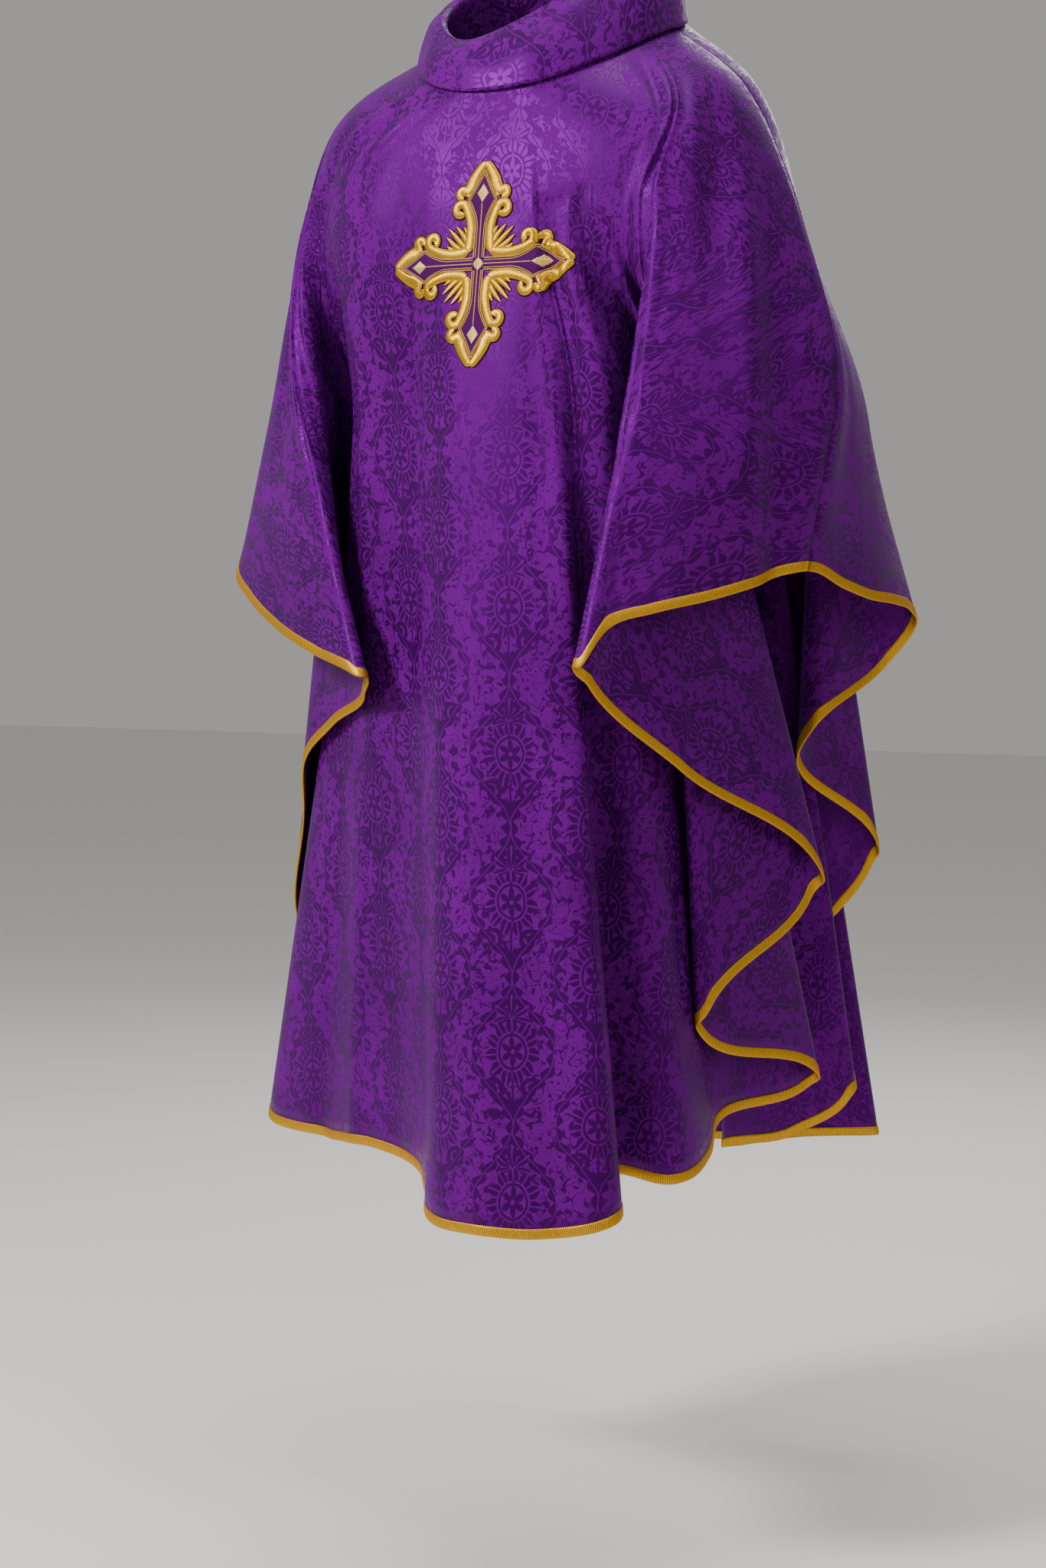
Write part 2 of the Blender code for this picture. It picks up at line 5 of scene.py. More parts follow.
import bpy
import numpy as np
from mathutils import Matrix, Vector


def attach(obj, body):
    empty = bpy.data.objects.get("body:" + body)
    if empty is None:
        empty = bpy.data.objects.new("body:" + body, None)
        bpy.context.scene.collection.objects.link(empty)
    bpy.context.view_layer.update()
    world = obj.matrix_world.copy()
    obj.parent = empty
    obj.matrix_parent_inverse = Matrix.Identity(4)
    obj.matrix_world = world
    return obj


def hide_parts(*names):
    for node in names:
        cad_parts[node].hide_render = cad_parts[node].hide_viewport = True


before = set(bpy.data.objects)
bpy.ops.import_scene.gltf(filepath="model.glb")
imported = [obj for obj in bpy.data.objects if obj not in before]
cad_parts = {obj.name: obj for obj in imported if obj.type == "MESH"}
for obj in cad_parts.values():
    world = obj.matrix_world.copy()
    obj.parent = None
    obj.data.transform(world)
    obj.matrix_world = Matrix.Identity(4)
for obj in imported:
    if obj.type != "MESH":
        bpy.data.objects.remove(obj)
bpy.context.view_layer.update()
print("frame loaded")


# Small helpers

def unit(v):  # each row divided by its own length
    return v / np.linalg.norm(v, axis=-1, keepdims=True)


def fromHex(text, alpha=1.0):  # sRGB hex to linear: the power curve above a short straight foot
    values = [int(text[i:i + 2], 16) / 255 for i in (1, 3, 5)]
    return (*[c / 12.92 if c <= 0.04045 else ((c + 0.055) / 1.055) ** 2.4 for c in values], alpha)


def hermite(p0, m0, p1, m1, t):  # cubic from p0 to p1 with end slopes m0 and m1
    t2, t3 = t * t, t * t * t
    return (2 * t3 - 3 * t2 + 1) * p0 + (t3 - 2 * t2 + t) * m0 + (3 * t2 - 2 * t3) * p1 + (t3 - t2) * m1


def smoothStep(x, low, high):  # 0 below low, 1 above high, an S curve between
    t = np.clip((x - low) / (high - low), 0, 1)
    return t * t * (3 - 2 * t)


def gridQuads(rows, columns, start=0, flip=False, closeRows=False, closeColumns=False):
    # the four corners of every cell of a grid of points stored row after row
    i = np.arange(rows if closeRows else rows - 1)[:, None]
    j = np.arange(columns if closeColumns else columns - 1)[None, :]
    i2, j2 = (i + 1) % rows, (j + 1) % columns
    corners = (i * columns + j, i * columns + j2, i2 * columns + j2, i2 * columns + j)
    quads = np.stack(np.broadcast_arrays(*corners), -1)
    quads = quads.reshape(-1, 4) + start
    return quads[:, ::-1] if flip else quads


def addMesh(name, points, faces, uv, material, replaced=()):
    mesh = bpy.data.meshes.new(name)
    mesh.from_pydata(np.asarray(points).reshape(-1, 3).tolist(), [], [list(f) for f in faces])
    layer = mesh.uv_layers.new(name="cut")
    corners = np.zeros(len(mesh.loops), dtype=np.int32)
    mesh.loops.foreach_get("vertex_index", corners)
    layer.data.foreach_set("uv", np.asarray(uv, dtype=np.float32).reshape(-1, 2)[corners].ravel())
    mesh.polygons.foreach_set("use_smooth", np.ones(len(mesh.polygons), dtype=bool))
    mesh.materials.append(material)
    mesh.validate()
    obj = bpy.data.objects.new(name, mesh)
    bpy.context.collection.objects.link(obj)
    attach(obj, "root")
    if replaced:
        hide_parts(*replaced)
    return obj


def wallPoints(grid, thick, closeRows=False):
    # a grid moved out and in by half the thickness along its own normals
    if closeRows:
        along = np.roll(grid, -1, axis=0) - np.roll(grid, 1, axis=0)
    else:
        along = np.gradient(grid, axis=0)
    normal = unit(np.cross(np.gradient(grid, axis=1), along))
    return grid + normal * thick / 2, grid - normal * thick / 2


def wallFaces(rows, columns, closeRows=False):
    # outer grid, inner grid and the rims that close them
    n = rows * columns
    quads = [gridQuads(rows, columns, 0, False, closeRows), gridQuads(rows, columns, n, True, closeRows)]
    i = np.arange(rows if closeRows else rows - 1)
    i2 = (i + 1) % rows
    for j, flip in ((0, False), (columns - 1, True)):
        rim = np.stack([i * columns + j, i2 * columns + j, i2 * columns + j + n, i * columns + j + n], 1)
        quads.append(rim if not flip else rim[:, ::-1])
    if not closeRows:
        j = np.arange(columns - 1)
        for i, flip in ((0, True), (rows - 1, False)):
            first = i * columns + j
            rim = np.stack([first, first + 1, first + 1 + n, first + n], 1)
            quads.append(rim if not flip else rim[:, ::-1])
    return np.concatenate(quads)


# The garment's surface, on the same rows of folds as the solids

body = {
    "neckHalfWidth": 0.129, "neckFront": 0.144, "neckBack": 0.084, "neckSideZ": 0.005,
    "shoulderHalfWidth": 0.229, "shoulderFront": 0.151, "shoulderBack": 0.090,
    "shoulderSideZ": -0.066, "shoulderFrontDrop": 0.058, "shoulderBackRise": 0.022, "shoulderShiftX": -0.012,
    "chestHalfWidth": 0.280, "chestFront": 0.163, "chestBack": 0.114, "chestShiftX": -0.008, "chestZ": -0.190,
    "elbowHalfWidth": 0.318, "elbowFront": 0.185, "elbowBack": 0.165, "elbowZ": -0.400,
    "foldTurn": 95.0,         # the hem turns back on itself where it bends by more degrees than this
    "hemFoldWidth": 0.016, "elbowFoldWidth": 0.009,
    "hemFoldDrop": 0.15, "hemFoldDropMost": 0.028,     # height across the fold, as a share of the hem's fall
    "hemFoldSteepness": 2.6}

# name, chest bearing (0 = front, 90 = left), out from the chest, elbow x and y, hem x, y and z
frontFolds = (
    ("right arm line",             -90.0,  0.000, -0.345,  0.000, -0.370, -0.030, -0.520),
    ("right cuff outer",           -79.0,  0.000, -0.322, -0.062, -0.369, -0.063, -0.552),
    ("right cuff 1",               -72.5,  0.000, -0.298, -0.092, -0.329, -0.098, -0.581),
    ("right cuff 2",               -68.0,  0.000, -0.270, -0.115, -0.271, -0.134, -0.610),
    ("right cuff 3",               -64.5,  0.002, -0.250, -0.126, -0.190, -0.179, -0.637),
    ("right wrist ridge",          -62.0,  0.004, -0.234, -0.131, -0.115, -0.205, -0.659),
    ("right wrist turn",           -60.5, -0.002, -0.227, -0.119, -0.128, -0.178, -0.678),
    ("right under wrist",          -58.5, -0.004, -0.228, -0.096, -0.210, -0.117, -0.715),
    ("right side edge",            -56.0, -0.006, -0.234, -0.072, -0.267, -0.085, -0.757),
    ("right side edge, lower",     -54.0, -0.007, -0.239, -0.058, -0.285, -0.060, -0.815),
    ("right side trough",          -51.5, -0.008, -0.241, -0.044, -0.335,  0.000, -0.935),
    ("right side fold",            -48.5, -0.008, -0.226, -0.032, -0.345,  0.085, -1.015),
    ("right corner, back",         -45.0, -0.006, -0.206, -0.048, -0.314, -0.004, -1.110),
    ("right corner",               -41.0, -0.003, -0.191, -0.076, -0.330, -0.060, -1.139),
    ("right front slope",          -32.5,  0.000, -0.182, -0.107, -0.235, -0.108, -1.153),
    ("right front ridge",          -24.5,  0.002, -0.150, -0.138, -0.140, -0.150, -1.150),
    ("right front trough",         -16.0, -0.002, -0.100, -0.157, -0.087, -0.166, -1.157),
    ("box fold foot",              -10.5, -0.001, -0.070, -0.167, -0.052, -0.192, -1.164),
    ("box fold corner",             -7.0,  0.000, -0.052, -0.178, -0.013, -0.250, -1.188),
    ("box fold, right part",        -3.5,  0.000, -0.026, -0.190,  0.020, -0.277, -1.196),
    ("front middle",                 0.5,  0.000,  0.008, -0.193,  0.069, -0.283, -1.198),
    ("box fold, left part",          6.0,  0.000,  0.054, -0.191,  0.132, -0.270, -1.199),
    ("box fold far corner",         11.0,  0.002,  0.098, -0.186,  0.193, -0.235, -1.187),
    ("box fold return",             13.0,  0.000,  0.116, -0.172,  0.139, -0.139, -1.157),
    ("left front ridge",            16.0,  0.000,  0.142, -0.166,  0.199, -0.116, -1.163),
    ("left front turn",             18.5,  0.000,  0.155, -0.145,  0.203, -0.045, -1.145),
    ("cascade trough 1",            21.0,  0.000,  0.159, -0.112,  0.190, -0.005, -1.120),
    ("cascade fold 1",              24.0,  0.000,  0.172, -0.055,  0.244,  0.106, -1.085),
    ("cascade trough 2",            27.0,  0.000,  0.180, -0.092,  0.207, -0.065, -1.005),
    ("cascade fold 2",              30.0,  0.000,  0.197, -0.045,  0.273,  0.054, -0.873),
    ("cascade trough 3",            33.0,  0.000,  0.194, -0.112,  0.210, -0.121, -0.750),
    ("left wrist turn",             36.0,  0.000,  0.185, -0.155,  0.162, -0.226, -0.662),
    ("left wrist ridge",            39.0,  0.003,  0.180, -0.180,  0.161, -0.242, -0.644),
    ("left cuff 1",                 43.0,  0.003,  0.196, -0.183,  0.185, -0.216, -0.603),
    ("left cuff 2",                 50.0,  0.000,  0.224, -0.165,  0.213, -0.189, -0.592),
    ("left cuff 3",                 60.0,  0.000,  0.258, -0.132,  0.251, -0.138, -0.579),
    ("left cuff outer",             72.0,  0.000,  0.292, -0.086,  0.285, -0.078, -0.562),
    ("left arm line",               90.0,  0.000,  0.320, -0.020,  0.303, -0.033, -0.551),
)
# the back, from the left arm line round to the right one, in the same columns
backFolds = (
    ("left cuff back 1",            96.0,  0.000,  0.322,  0.025,  0.314,  0.031, -0.569),
    ("left cuff back 2",           105.0,  0.000,  0.318,  0.070,  0.322,  0.070, -0.579),
    ("left cuff back 3",           112.0,  0.000,  0.308,  0.100,  0.325,  0.130, -0.585),
    ("left cuff back 4",           117.0,  0.000,  0.296,  0.118,  0.319,  0.184, -0.593),
    ("left cuff back fold",        121.0,  0.000,  0.283,  0.130,  0.312,  0.215, -0.607),
    ("left under arm 1",           124.0,  0.000,  0.262,  0.132,  0.277,  0.218, -0.650),
    ("left under arm 2",           127.0,  0.000,  0.248,  0.124,  0.231,  0.133, -0.717),
    ("left under arm trough",      129.0,  0.000,  0.238,  0.118,  0.216,  0.136, -0.736),
    ("left side fold",             137.0,  0.000,  0.222,  0.155,  0.232,  0.284, -0.862),
    ("left side turn",             140.5,  0.000,  0.203,  0.162,  0.194,  0.273, -0.925),
    ("left side trough",           144.0,  0.000,  0.164,  0.150,  0.151,  0.240, -0.970),
    ("left back fold 1",           148.0,  0.000,  0.174,  0.129,  0.223,  0.246, -1.112),
    ("left back slope",            152.0,  0.000,  0.148,  0.121,  0.168,  0.226, -1.165),
    ("left back trough",           156.0,  0.000,  0.130,  0.145,  0.080,  0.236, -1.188),
    ("left back rise",             160.0,  0.000,  0.142,  0.167,  0.129,  0.317, -1.185),
    ("left back fold 2",           164.0,  0.000,  0.150,  0.183,  0.198,  0.357, -1.182),
    ("left back sweep",            171.0,  0.000,  0.105,  0.187,  0.092,  0.342, -1.190),
    ("back middle",                180.0,  0.000,  0.000,  0.178,  0.000,  0.330, -1.200),
    ("right back sweep",           189.0,  0.000, -0.108,  0.185, -0.100,  0.340, -1.195),
    ("right back fold 2",          196.0,  0.000, -0.155,  0.181, -0.205,  0.350, -1.186),
    ("right back rise",            200.0,  0.000, -0.148,  0.165, -0.135,  0.312, -1.180),
    ("right back trough",          204.0,  0.000, -0.135,  0.143, -0.088,  0.234, -1.188),
    ("right back slope",           208.0,  0.000, -0.153,  0.119, -0.172,  0.222, -1.163),
    ("right back fold 1",          212.0,  0.000, -0.180,  0.128, -0.230,  0.240, -1.105),
    ("right side back trough",     215.5,  0.000, -0.170,  0.149, -0.158,  0.234, -0.962),
    ("right side turn",            218.5,  0.000, -0.207,  0.160, -0.200,  0.268, -0.918),
    ("right side back fold",       223.0,  0.000, -0.228,  0.152, -0.238,  0.278, -0.858),
    ("right under arm trough",     232.0,  0.000, -0.244,  0.115, -0.226,  0.132, -0.734),
    ("right under arm 2",          234.0,  0.000, -0.254,  0.120, -0.242,  0.130, -0.714),
    ("right under arm 1",          237.0,  0.000, -0.270,  0.128, -0.290,  0.212, -0.648),
    ("right cuff back fold",       241.0,  0.000, -0.294,  0.126, -0.332,  0.190, -0.604),
    ("right cuff back 2",          251.0,  0.000, -0.322,  0.090, -0.352,  0.110, -0.570),
    ("right cuff back 1",          261.0,  0.000, -0.337,  0.048, -0.364,  0.045, -0.542),
)


def through(before, after):  # the way that a smooth curve passes a point, from the steps to and from it
    a, b = np.linalg.norm(before), np.linalg.norm(after)
    return unit(before / a * b + after / b * a)


def sideways(before, after):  # across a fold, from the layer that comes to it to the one that leaves it
    tip = unit(unit(before) - unit(after))
    leftTurn = before[0] * after[1] - before[1] * after[0] > 0
    return np.array([-tip[1], tip[0]]) if leftTurn else np.array([tip[1], -tip[0]])


def oval(bearing, halfWidth, front, back, square=2.35):  # a squared oval, deeper in front than at the back
    s, c = np.sin(bearing), np.cos(bearing)
    depth = np.where(c > 0, front, back)
    return (halfWidth * np.sign(s) * np.abs(s) ** (2 / square),
            -depth * np.sign(c) * np.abs(c) ** (2 / square))


def layOutFolds(frontRows, backRows):
    # Places and ways of every fold row at elbow and hem. u is the distance along the hem from the
    # right arm line, through the front, the left arm line and the back. A row where the hem
    # turns back becomes two, side by side, so that its two layers never touch.
    rows = frontRows + backRows
    names = [row[0] for row in rows]
    table = np.array([row[1:] for row in rows])
    count = len(rows)
    elbow, hem = table[:, 2:4], table[:, 4:7]
    hemIn, hemOut = hem - np.roll(hem, 1, axis=0), np.roll(hem, -1, axis=0) - hem
    turned = (unit(hemIn[:, :2]) * unit(hemOut[:, :2])).sum(1) < math.cos(math.radians(body["foldTurn"]))
    places, elbows, hems, elbowWays, hemWays, tips = [], [], [], [], [], []
    for i in range(count):
        elbowIn, elbowOut = elbow[i] - elbow[i - 1], elbow[(i + 1) % count] - elbow[i]
        if not turned[i]:
            places.append(i)
            elbows.append(elbow[i])
            hems.append(hem[i])
            elbowWays.append(through(elbowIn, elbowOut))
            hemWays.append(through(hemIn[i], hemOut[i]))
            tips.append(False)
            continue
        fall = hemIn[i, 2] + hemOut[i, 2]
        drop = np.clip(fall * body["hemFoldDrop"], -body["hemFoldDropMost"], body["hemFoldDropMost"])
        steeper = np.array([0.0, 0.0, np.clip(fall * body["hemFoldSteepness"], -0.6, 0.6)])
        hemSide = np.append(sideways(hemIn[i, :2], hemOut[i, :2]) * body["hemFoldWidth"], drop) / 2
        room = min(np.linalg.norm(elbowIn), np.linalg.norm(elbowOut))
        elbowSide = sideways(elbowIn, elbowOut) * min(body["elbowFoldWidth"], room * 0.45) / 2
        bent = elbowIn @ elbowOut < 0
        for end, sign in enumerate((-1.0, 1.0)):
            places.append(i)
            elbows.append(elbow[i] + sign * elbowSide)
            hems.append(hem[i] + sign * hemSide)
            hemWays.append(unit(unit(hemOut[i] if end else hemIn[i]) + steeper))
            elbowWays.append(unit(elbowOut if end else elbowIn) if bent else through(elbowIn, elbowOut))
            tips.append(end == 0)
    cut = {"elbows": np.array(elbows), "hems": np.array(hems), "elbowWays": np.array(elbowWays),
           "hemWays": np.array(hemWays), "tips": np.array(tips), "count": len(places)}
    chord = np.linalg.norm(np.roll(cut["hems"], -1, axis=0) - cut["hems"], axis=1)
    u = np.concatenate([[0.0], np.cumsum(np.where(cut["tips"], chord * math.pi / 2, chord))])
    leftArm, middle, back = (places.index(names.index(name)) for name in
                             ("left arm line", "front middle", "back middle"))
    # the neck edge is shared out by the hem's length, as the cut is
    neck = np.interp(u, [0.0, u[middle], u[leftArm], u[-1]], [-90.0, 0.0, 90.0, 270.0])
    shared = np.column_stack([table[places, 0], table[places, 1], neck[:-1]])
    for i in np.nonzero(cut["tips"])[0]:
        near = min((shared[(i + 2) % len(places), 0] - shared[i, 0]) % 360.0,
                   (shared[i, 0] - shared[i - 1, 0]) % 360.0)
        shared[i, 0] -= near * 0.2
        shared[i + 1, 0] += near * 0.2
    turn = np.array([[360.0, 0.0, 360.0]])
    keys = np.concatenate([u[:-1] - u[-1], u[:-1], u + u[-1]])
    values = np.concatenate([shared - turn, shared, shared + turn, shared[:1] + 2 * turn])
    slope = np.diff(values, axis=0) / np.diff(keys)[:, None]
    left, right = slope[:-1], slope[1:]
    sameWay = left * right > 0
    inner = np.where(sameWay, 2 * left * right / np.where(sameWay, left + right, 1.0), 0.0)
    cut.update(u=u, uMiddle=u[middle], uBack=u[back], leftArm=leftArm, keys=keys, values=values,
               slopes=np.concatenate([inner[:1], inner, inner[-1:]]))
    return cut


cut = layOutFolds(frontFolds, backFolds)


def bendBetween(places, ways, i, t):  # a smooth curve through the places; a tip is a half circle
    j = (i + 1) % cut["count"]
    span = np.linalg.norm(places[j] - places[i], axis=1)[:, None]
    pull = span * np.where(cut["tips"][i], 2.0, 1.0)[:, None]
    return hermite(places[i], ways[i] * pull, places[j], ways[j] * pull, t)


def threadsAt(u):  # chest bearing, chest rise, neck bearing, elbow place and hem place of the threads at u
    k = np.clip(np.searchsorted(cut["keys"], u, side="right") - 1, 0, len(cut["keys"]) - 2)
    h = (cut["keys"][k + 1] - cut["keys"][k])[:, None]
    t = ((u - cut["keys"][k]) / h[:, 0])[:, None]
    values = hermite(cut["values"][k], cut["slopes"][k] * h,
                     cut["values"][k + 1], cut["slopes"][k + 1] * h, t)
    i = k % cut["count"]
    return (values[:, 0], values[:, 1], values[:, 2], bendBetween(cut["elbows"], cut["elbowWays"], i, t),
            bendBetween(cut["hems"], cut["hemWays"], i, t))


def plainPoints(u, v):
    # v runs down: 0 neck seam, 1 shoulder, 2 chest, 3 elbow, 4 hem. Smooth from neck to elbow; below
    # the elbow each thread hangs straight to the hem.
    chestDeg, chestOut, neckDeg, elbowAt, hem = threadsAt(u)
    chestAt, neckAt = np.radians(chestDeg), np.radians(neckDeg)
    x, y = oval(neckAt, body["neckHalfWidth"], body["neckFront"], body["neckBack"], 2.15)
    neck = np.column_stack([x, y, body["neckSideZ"] + np.where(
        y < 0, 0.30 * y - 0.185 * y * y / body["neckFront"], 0.35 * y)])
    x, y = oval((chestAt + neckAt) / 2, body["shoulderHalfWidth"], body["shoulderFront"],
                body["shoulderBack"], 2.6)
    shoulder = np.column_stack([x + body["shoulderShiftX"], y, (
        body["shoulderSideZ"] - body["shoulderFrontDrop"] * np.clip(-y / body["shoulderFront"], 0, 1) ** 2
        + body["shoulderBackRise"] * np.clip(y / body["shoulderBack"], 0, 1))])
    x, y = oval(chestAt, body["chestHalfWidth"], body["chestFront"], body["chestBack"])
    out = unit(np.column_stack([x, y])) * chestOut[:, None]
    chest = np.column_stack([x + out[:, 0] + body["chestShiftX"], y + out[:, 1],
                             np.full(len(u), body["chestZ"])])
    x, y = oval(chestAt, body["elbowHalfWidth"], body["elbowFront"], body["elbowBack"])
    hang = np.column_stack([x + body["chestShiftX"], y, np.full(len(u), body["elbowZ"])])
    elbow = np.column_stack([elbowAt, np.full(len(u), body["elbowZ"])])
    v = v[:, None]
    size = [np.linalg.norm(b - a, axis=1)[:, None]
            for a, b in ((neck, shoulder), (shoulder, chest), (chest, elbow))]
    atNeck, atShoulder, atChest, atElbow = (
        unit(shoulder - neck), unit(chest - neck), unit(hang - shoulder), unit(hem - elbow))
    yoke = hermite(neck, atNeck * size[0], shoulder, atShoulder * size[0], np.clip(v, 0, 1))
    chestPart = hermite(shoulder, atShoulder * size[1], chest, atChest * size[1], np.clip(v - 1, 0, 1))
    armPart = hermite(chest, atChest * size[2], elbow, atElbow * size[2], np.clip(v - 2, 0, 1))
    skirt = elbow + (hem - elbow) * (v - 3)
    return np.where(v <= 1, yoke, np.where(v <= 2, chestPart, np.where(v <= 3, armPart, skirt)))


def plainNormals(u, v):  # the cross product of one small step down and one across
    e = 1e-4
    across = plainPoints(u + e, v) - plainPoints(u - e, v)
    down = plainPoints(u, np.minimum(v + e, 4.2)) - plainPoints(u, np.maximum(v - e, 0.0))
    return unit(np.cross(down, across))


# Soft creases, listed one by one: where each starts and ends on the cloth, with its height (a trough is
# below 0) and half width in metres. They swell in the middle of their length and fade at both ends.
# u start, v start, u end, v end, height, half width
creases = (
    # the left shoulder and sleeve
    (2.876, 0.10, 3.034, 1.70, -0.0050, 0.010),
    (2.934, 0.15, 3.082, 2.10, 0.0045, 0.014),
    (3.014, 1.60, 3.136, 3.10, -0.0060, 0.011),
    (3.082, 1.70, 3.164, 3.40, 0.0060, 0.016),
    (3.199, 0.70, 3.184, 2.90, 0.0060, 0.022),
    (3.239, 0.80, 3.249, 2.40, -0.0040, 0.018),
    (3.299, 1.40, 3.304, 3.60, 0.0040, 0.022),
    (3.341, 1.90, 3.354, 4.00, -0.0080, 0.020),
    (3.379, 1.50, 3.409, 3.90, 0.0050, 0.022),
    (3.479, 1.20, 3.499, 3.30, -0.0040, 0.024),
    # chest and front, between the arms
    (1.269, 0.20, 1.259, 1.50, 0.0022, 0.012),
    (1.179, 0.25, 1.159, 1.40, -0.0022, 0.012),
    (1.015, 0.30, 0.943, 1.50, 0.0035, 0.012),
    (0.943, 0.35, 0.890, 1.80, -0.0035, 0.012),
    (1.349, 2.30, 1.371, 3.55, 0.0050, 0.016),
    (1.404, 2.50, 1.414, 3.40, -0.0035, 0.014),
    (1.451, 2.20, 1.456, 3.60, -0.0050, 0.018),
    (1.499, 2.45, 1.499, 3.30, 0.0025, 0.016),
    (1.579, 2.60, 1.569, 3.30, -0.0020, 0.020),
    (1.749, 2.35, 1.741, 3.40, -0.0045, 0.016),
    (1.838, 1.90, 1.784, 3.60, 0.0050, 0.015),
    (1.930, 1.80, 1.878, 3.20, -0.0045, 0.014),
    (2.025, 1.90, 1.975, 3.20, 0.0040, 0.013),
    (2.104, 1.70, 2.085, 3.10, -0.0040, 0.012),
    # the right sleeve and side
    (0.566, 1.30, 0.378, 3.60, 0.0070, 0.018),
    (0.706, 1.50, 0.526, 3.20, -0.0060, 0.016),
    (0.881, 1.60, 0.806, 3.00, -0.0050, 0.014),
    (1.139, 1.90, 1.199, 3.30, -0.0040, 0.016),
    (1.239, 2.10, 1.269, 3.50, 0.0040, 0.015),
    (0.240, 1.10, 0.150, 3.50, -0.0050, 0.022),
    (0.100, 1.40, 0.050, 3.80, 0.0045, 0.024),
    # the lower front
    (1.539, 3.30, 1.519, 4.00, -0.0045, 0.020),
    (1.629, 3.15, 1.639, 4.00, 0.0040, 0.026),
    (1.709, 3.35, 1.719, 4.00, -0.0035, 0.022),
    (1.349, 3.45, 1.339, 4.00, 0.0040, 0.018),
    (1.289, 3.30, 1.269, 4.00, -0.0040, 0.018),
    # the back
    (3.639, 1.20, 3.679, 3.30, 0.0050, 0.022),
    (3.779, 1.30, 3.839, 3.40, -0.0060, 0.020),
    (3.934, 1.20, 3.972, 3.10, 0.0050, 0.018),
    (4.167, 1.10, 4.167, 3.00, -0.0055, 0.018),
    (4.497, 1.00, 4.479, 2.90, 0.0050, 0.020),
    (4.681, 1.20, 4.681, 3.40, -0.0045, 0.018),
    (4.829, 0.90, 4.868, 3.00, 0.0050, 0.022),
    (4.988, 1.60, 4.968, 3.70, -0.0050, 0.020),
    (5.108, 1.00, 5.088, 3.20, 0.0040, 0.022),
    (5.256, 1.80, 5.276, 3.80, -0.0045, 0.018),
    (5.395, 1.00, 5.355, 2.90, 0.0050, 0.020),
    (5.557, 1.20, 5.592, 3.20, -0.0055, 0.018),
    (5.785, 1.10, 5.764, 3.10, 0.0050, 0.020),
    (6.044, 1.20, 6.025, 3.00, -0.0050, 0.020),
    (6.237, 1.30, 6.277, 3.40, 0.0045, 0.020),
    (6.417, 1.20, 6.437, 3.50, -0.0045, 0.022))

creaseSwell = 1.4        # every crease is this much higher or deeper than its row says


def creaseHeight(u, v, across):
    # the sum of the creases: across a crease its height falls off as a bell, along it as a half sine
    height = np.zeros(len(u))
    for u0, v0, u1, v1, peak, half in creases:
        t = np.clip((v - v0) / (v1 - v0), 0, 1)
        atHem = 1.0 if v1 >= 4 else 0.0      # a crease that reaches the hem doesn't fade there
        along = np.where(t < 0.5, np.sin(math.pi * t), np.maximum(np.sin(math.pi * t), atHem)) ** 1.2
        bowed = u0 + (u1 - u0) * t + 0.012 * np.sin(2 * math.pi * t + 9 * u0) * (u1 - u0 + 0.05) * 4
        height += creaseSwell * peak * along * np.exp(-((u - bowed) * across / half) ** 2)
    return height


def clothPoints(u, v):  # the plain surface, moved along its normals by the creases
    e = 1e-3
    across = np.linalg.norm(plainPoints(u + e, v) - plainPoints(u - e, v), axis=1) / (2 * e)
    rise = creaseHeight(u, v, np.maximum(across, 0.12)) * smoothStep(v, 0.12, 0.5)
    return plainPoints(u, v) + plainNormals(u, v) * rise[:, None]


def clothNormals(u, v):
    e = 5e-4
    across = clothPoints(u + e, v) - clothPoints(u - e, v)
    down = clothPoints(u, np.minimum(v + e, 4.2)) - clothPoints(u, np.maximum(v - e, 0.0))
    return unit(np.cross(down, across))


def hemStep(u, width):  # how far up in v an edge strip of this true width reaches from the hem
    elbow, hem = threadsAt(u)[3:5]
    thread = hem - np.column_stack([elbow, np.full(len(u), body["elbowZ"])])
    length = np.linalg.norm(thread, axis=1)
    e = 1e-3
    along = unit(threadsAt(u + e)[4] - threadsAt(u - e)[4])
    lean = np.abs((along * thread).sum(1)) / length
    return width / np.sqrt(1 - np.clip(lean, 0, 0.82) ** 2) / length


def panelColumns(start, end, step):
    # u at even steps between the fold rows, and six steps round each tip
    u = cut["u"][start:end + 1]
    spans = []
    for i, (a, b) in enumerate(zip(u[:-1], u[1:])):
        tip = cut["tips"][(start + i) % cut["count"]]
        spans.append(np.linspace(a, b, 7 if tip else max(3, math.ceil((b - a) / step) + 1))[:-1])
    return np.concatenate(spans + [u[-1:]])


def flatCut(points, middle):
    # where each point lies on the flat cloth: the thread's length from the neck, turned by the length of
    # cloth between it and the middle thread at the same level
    steps = np.linalg.norm(np.diff(points, axis=1), axis=2)
    reach = panelCloth["neckReach"] + np.concatenate([np.zeros((len(points), 1)), np.cumsum(steps, axis=1)], axis=1)
    across = np.linalg.norm(np.diff(points, axis=0), axis=2)
    along = np.concatenate([np.zeros((1, points.shape[1])), np.cumsum(across, axis=0)])
    turn = (along - along[middle]) / reach[middle]
    return np.stack([reach * np.sin(turn), -reach * np.cos(turn)], -1)


panelCloth = {"thick": 0.0012, "columnStep": 0.0078, "levels": (14, 18, 26, 46), "seamGap": 0.0004,
              "neckReach": 0.13}      # from the middle of the flat cut to its neck edge


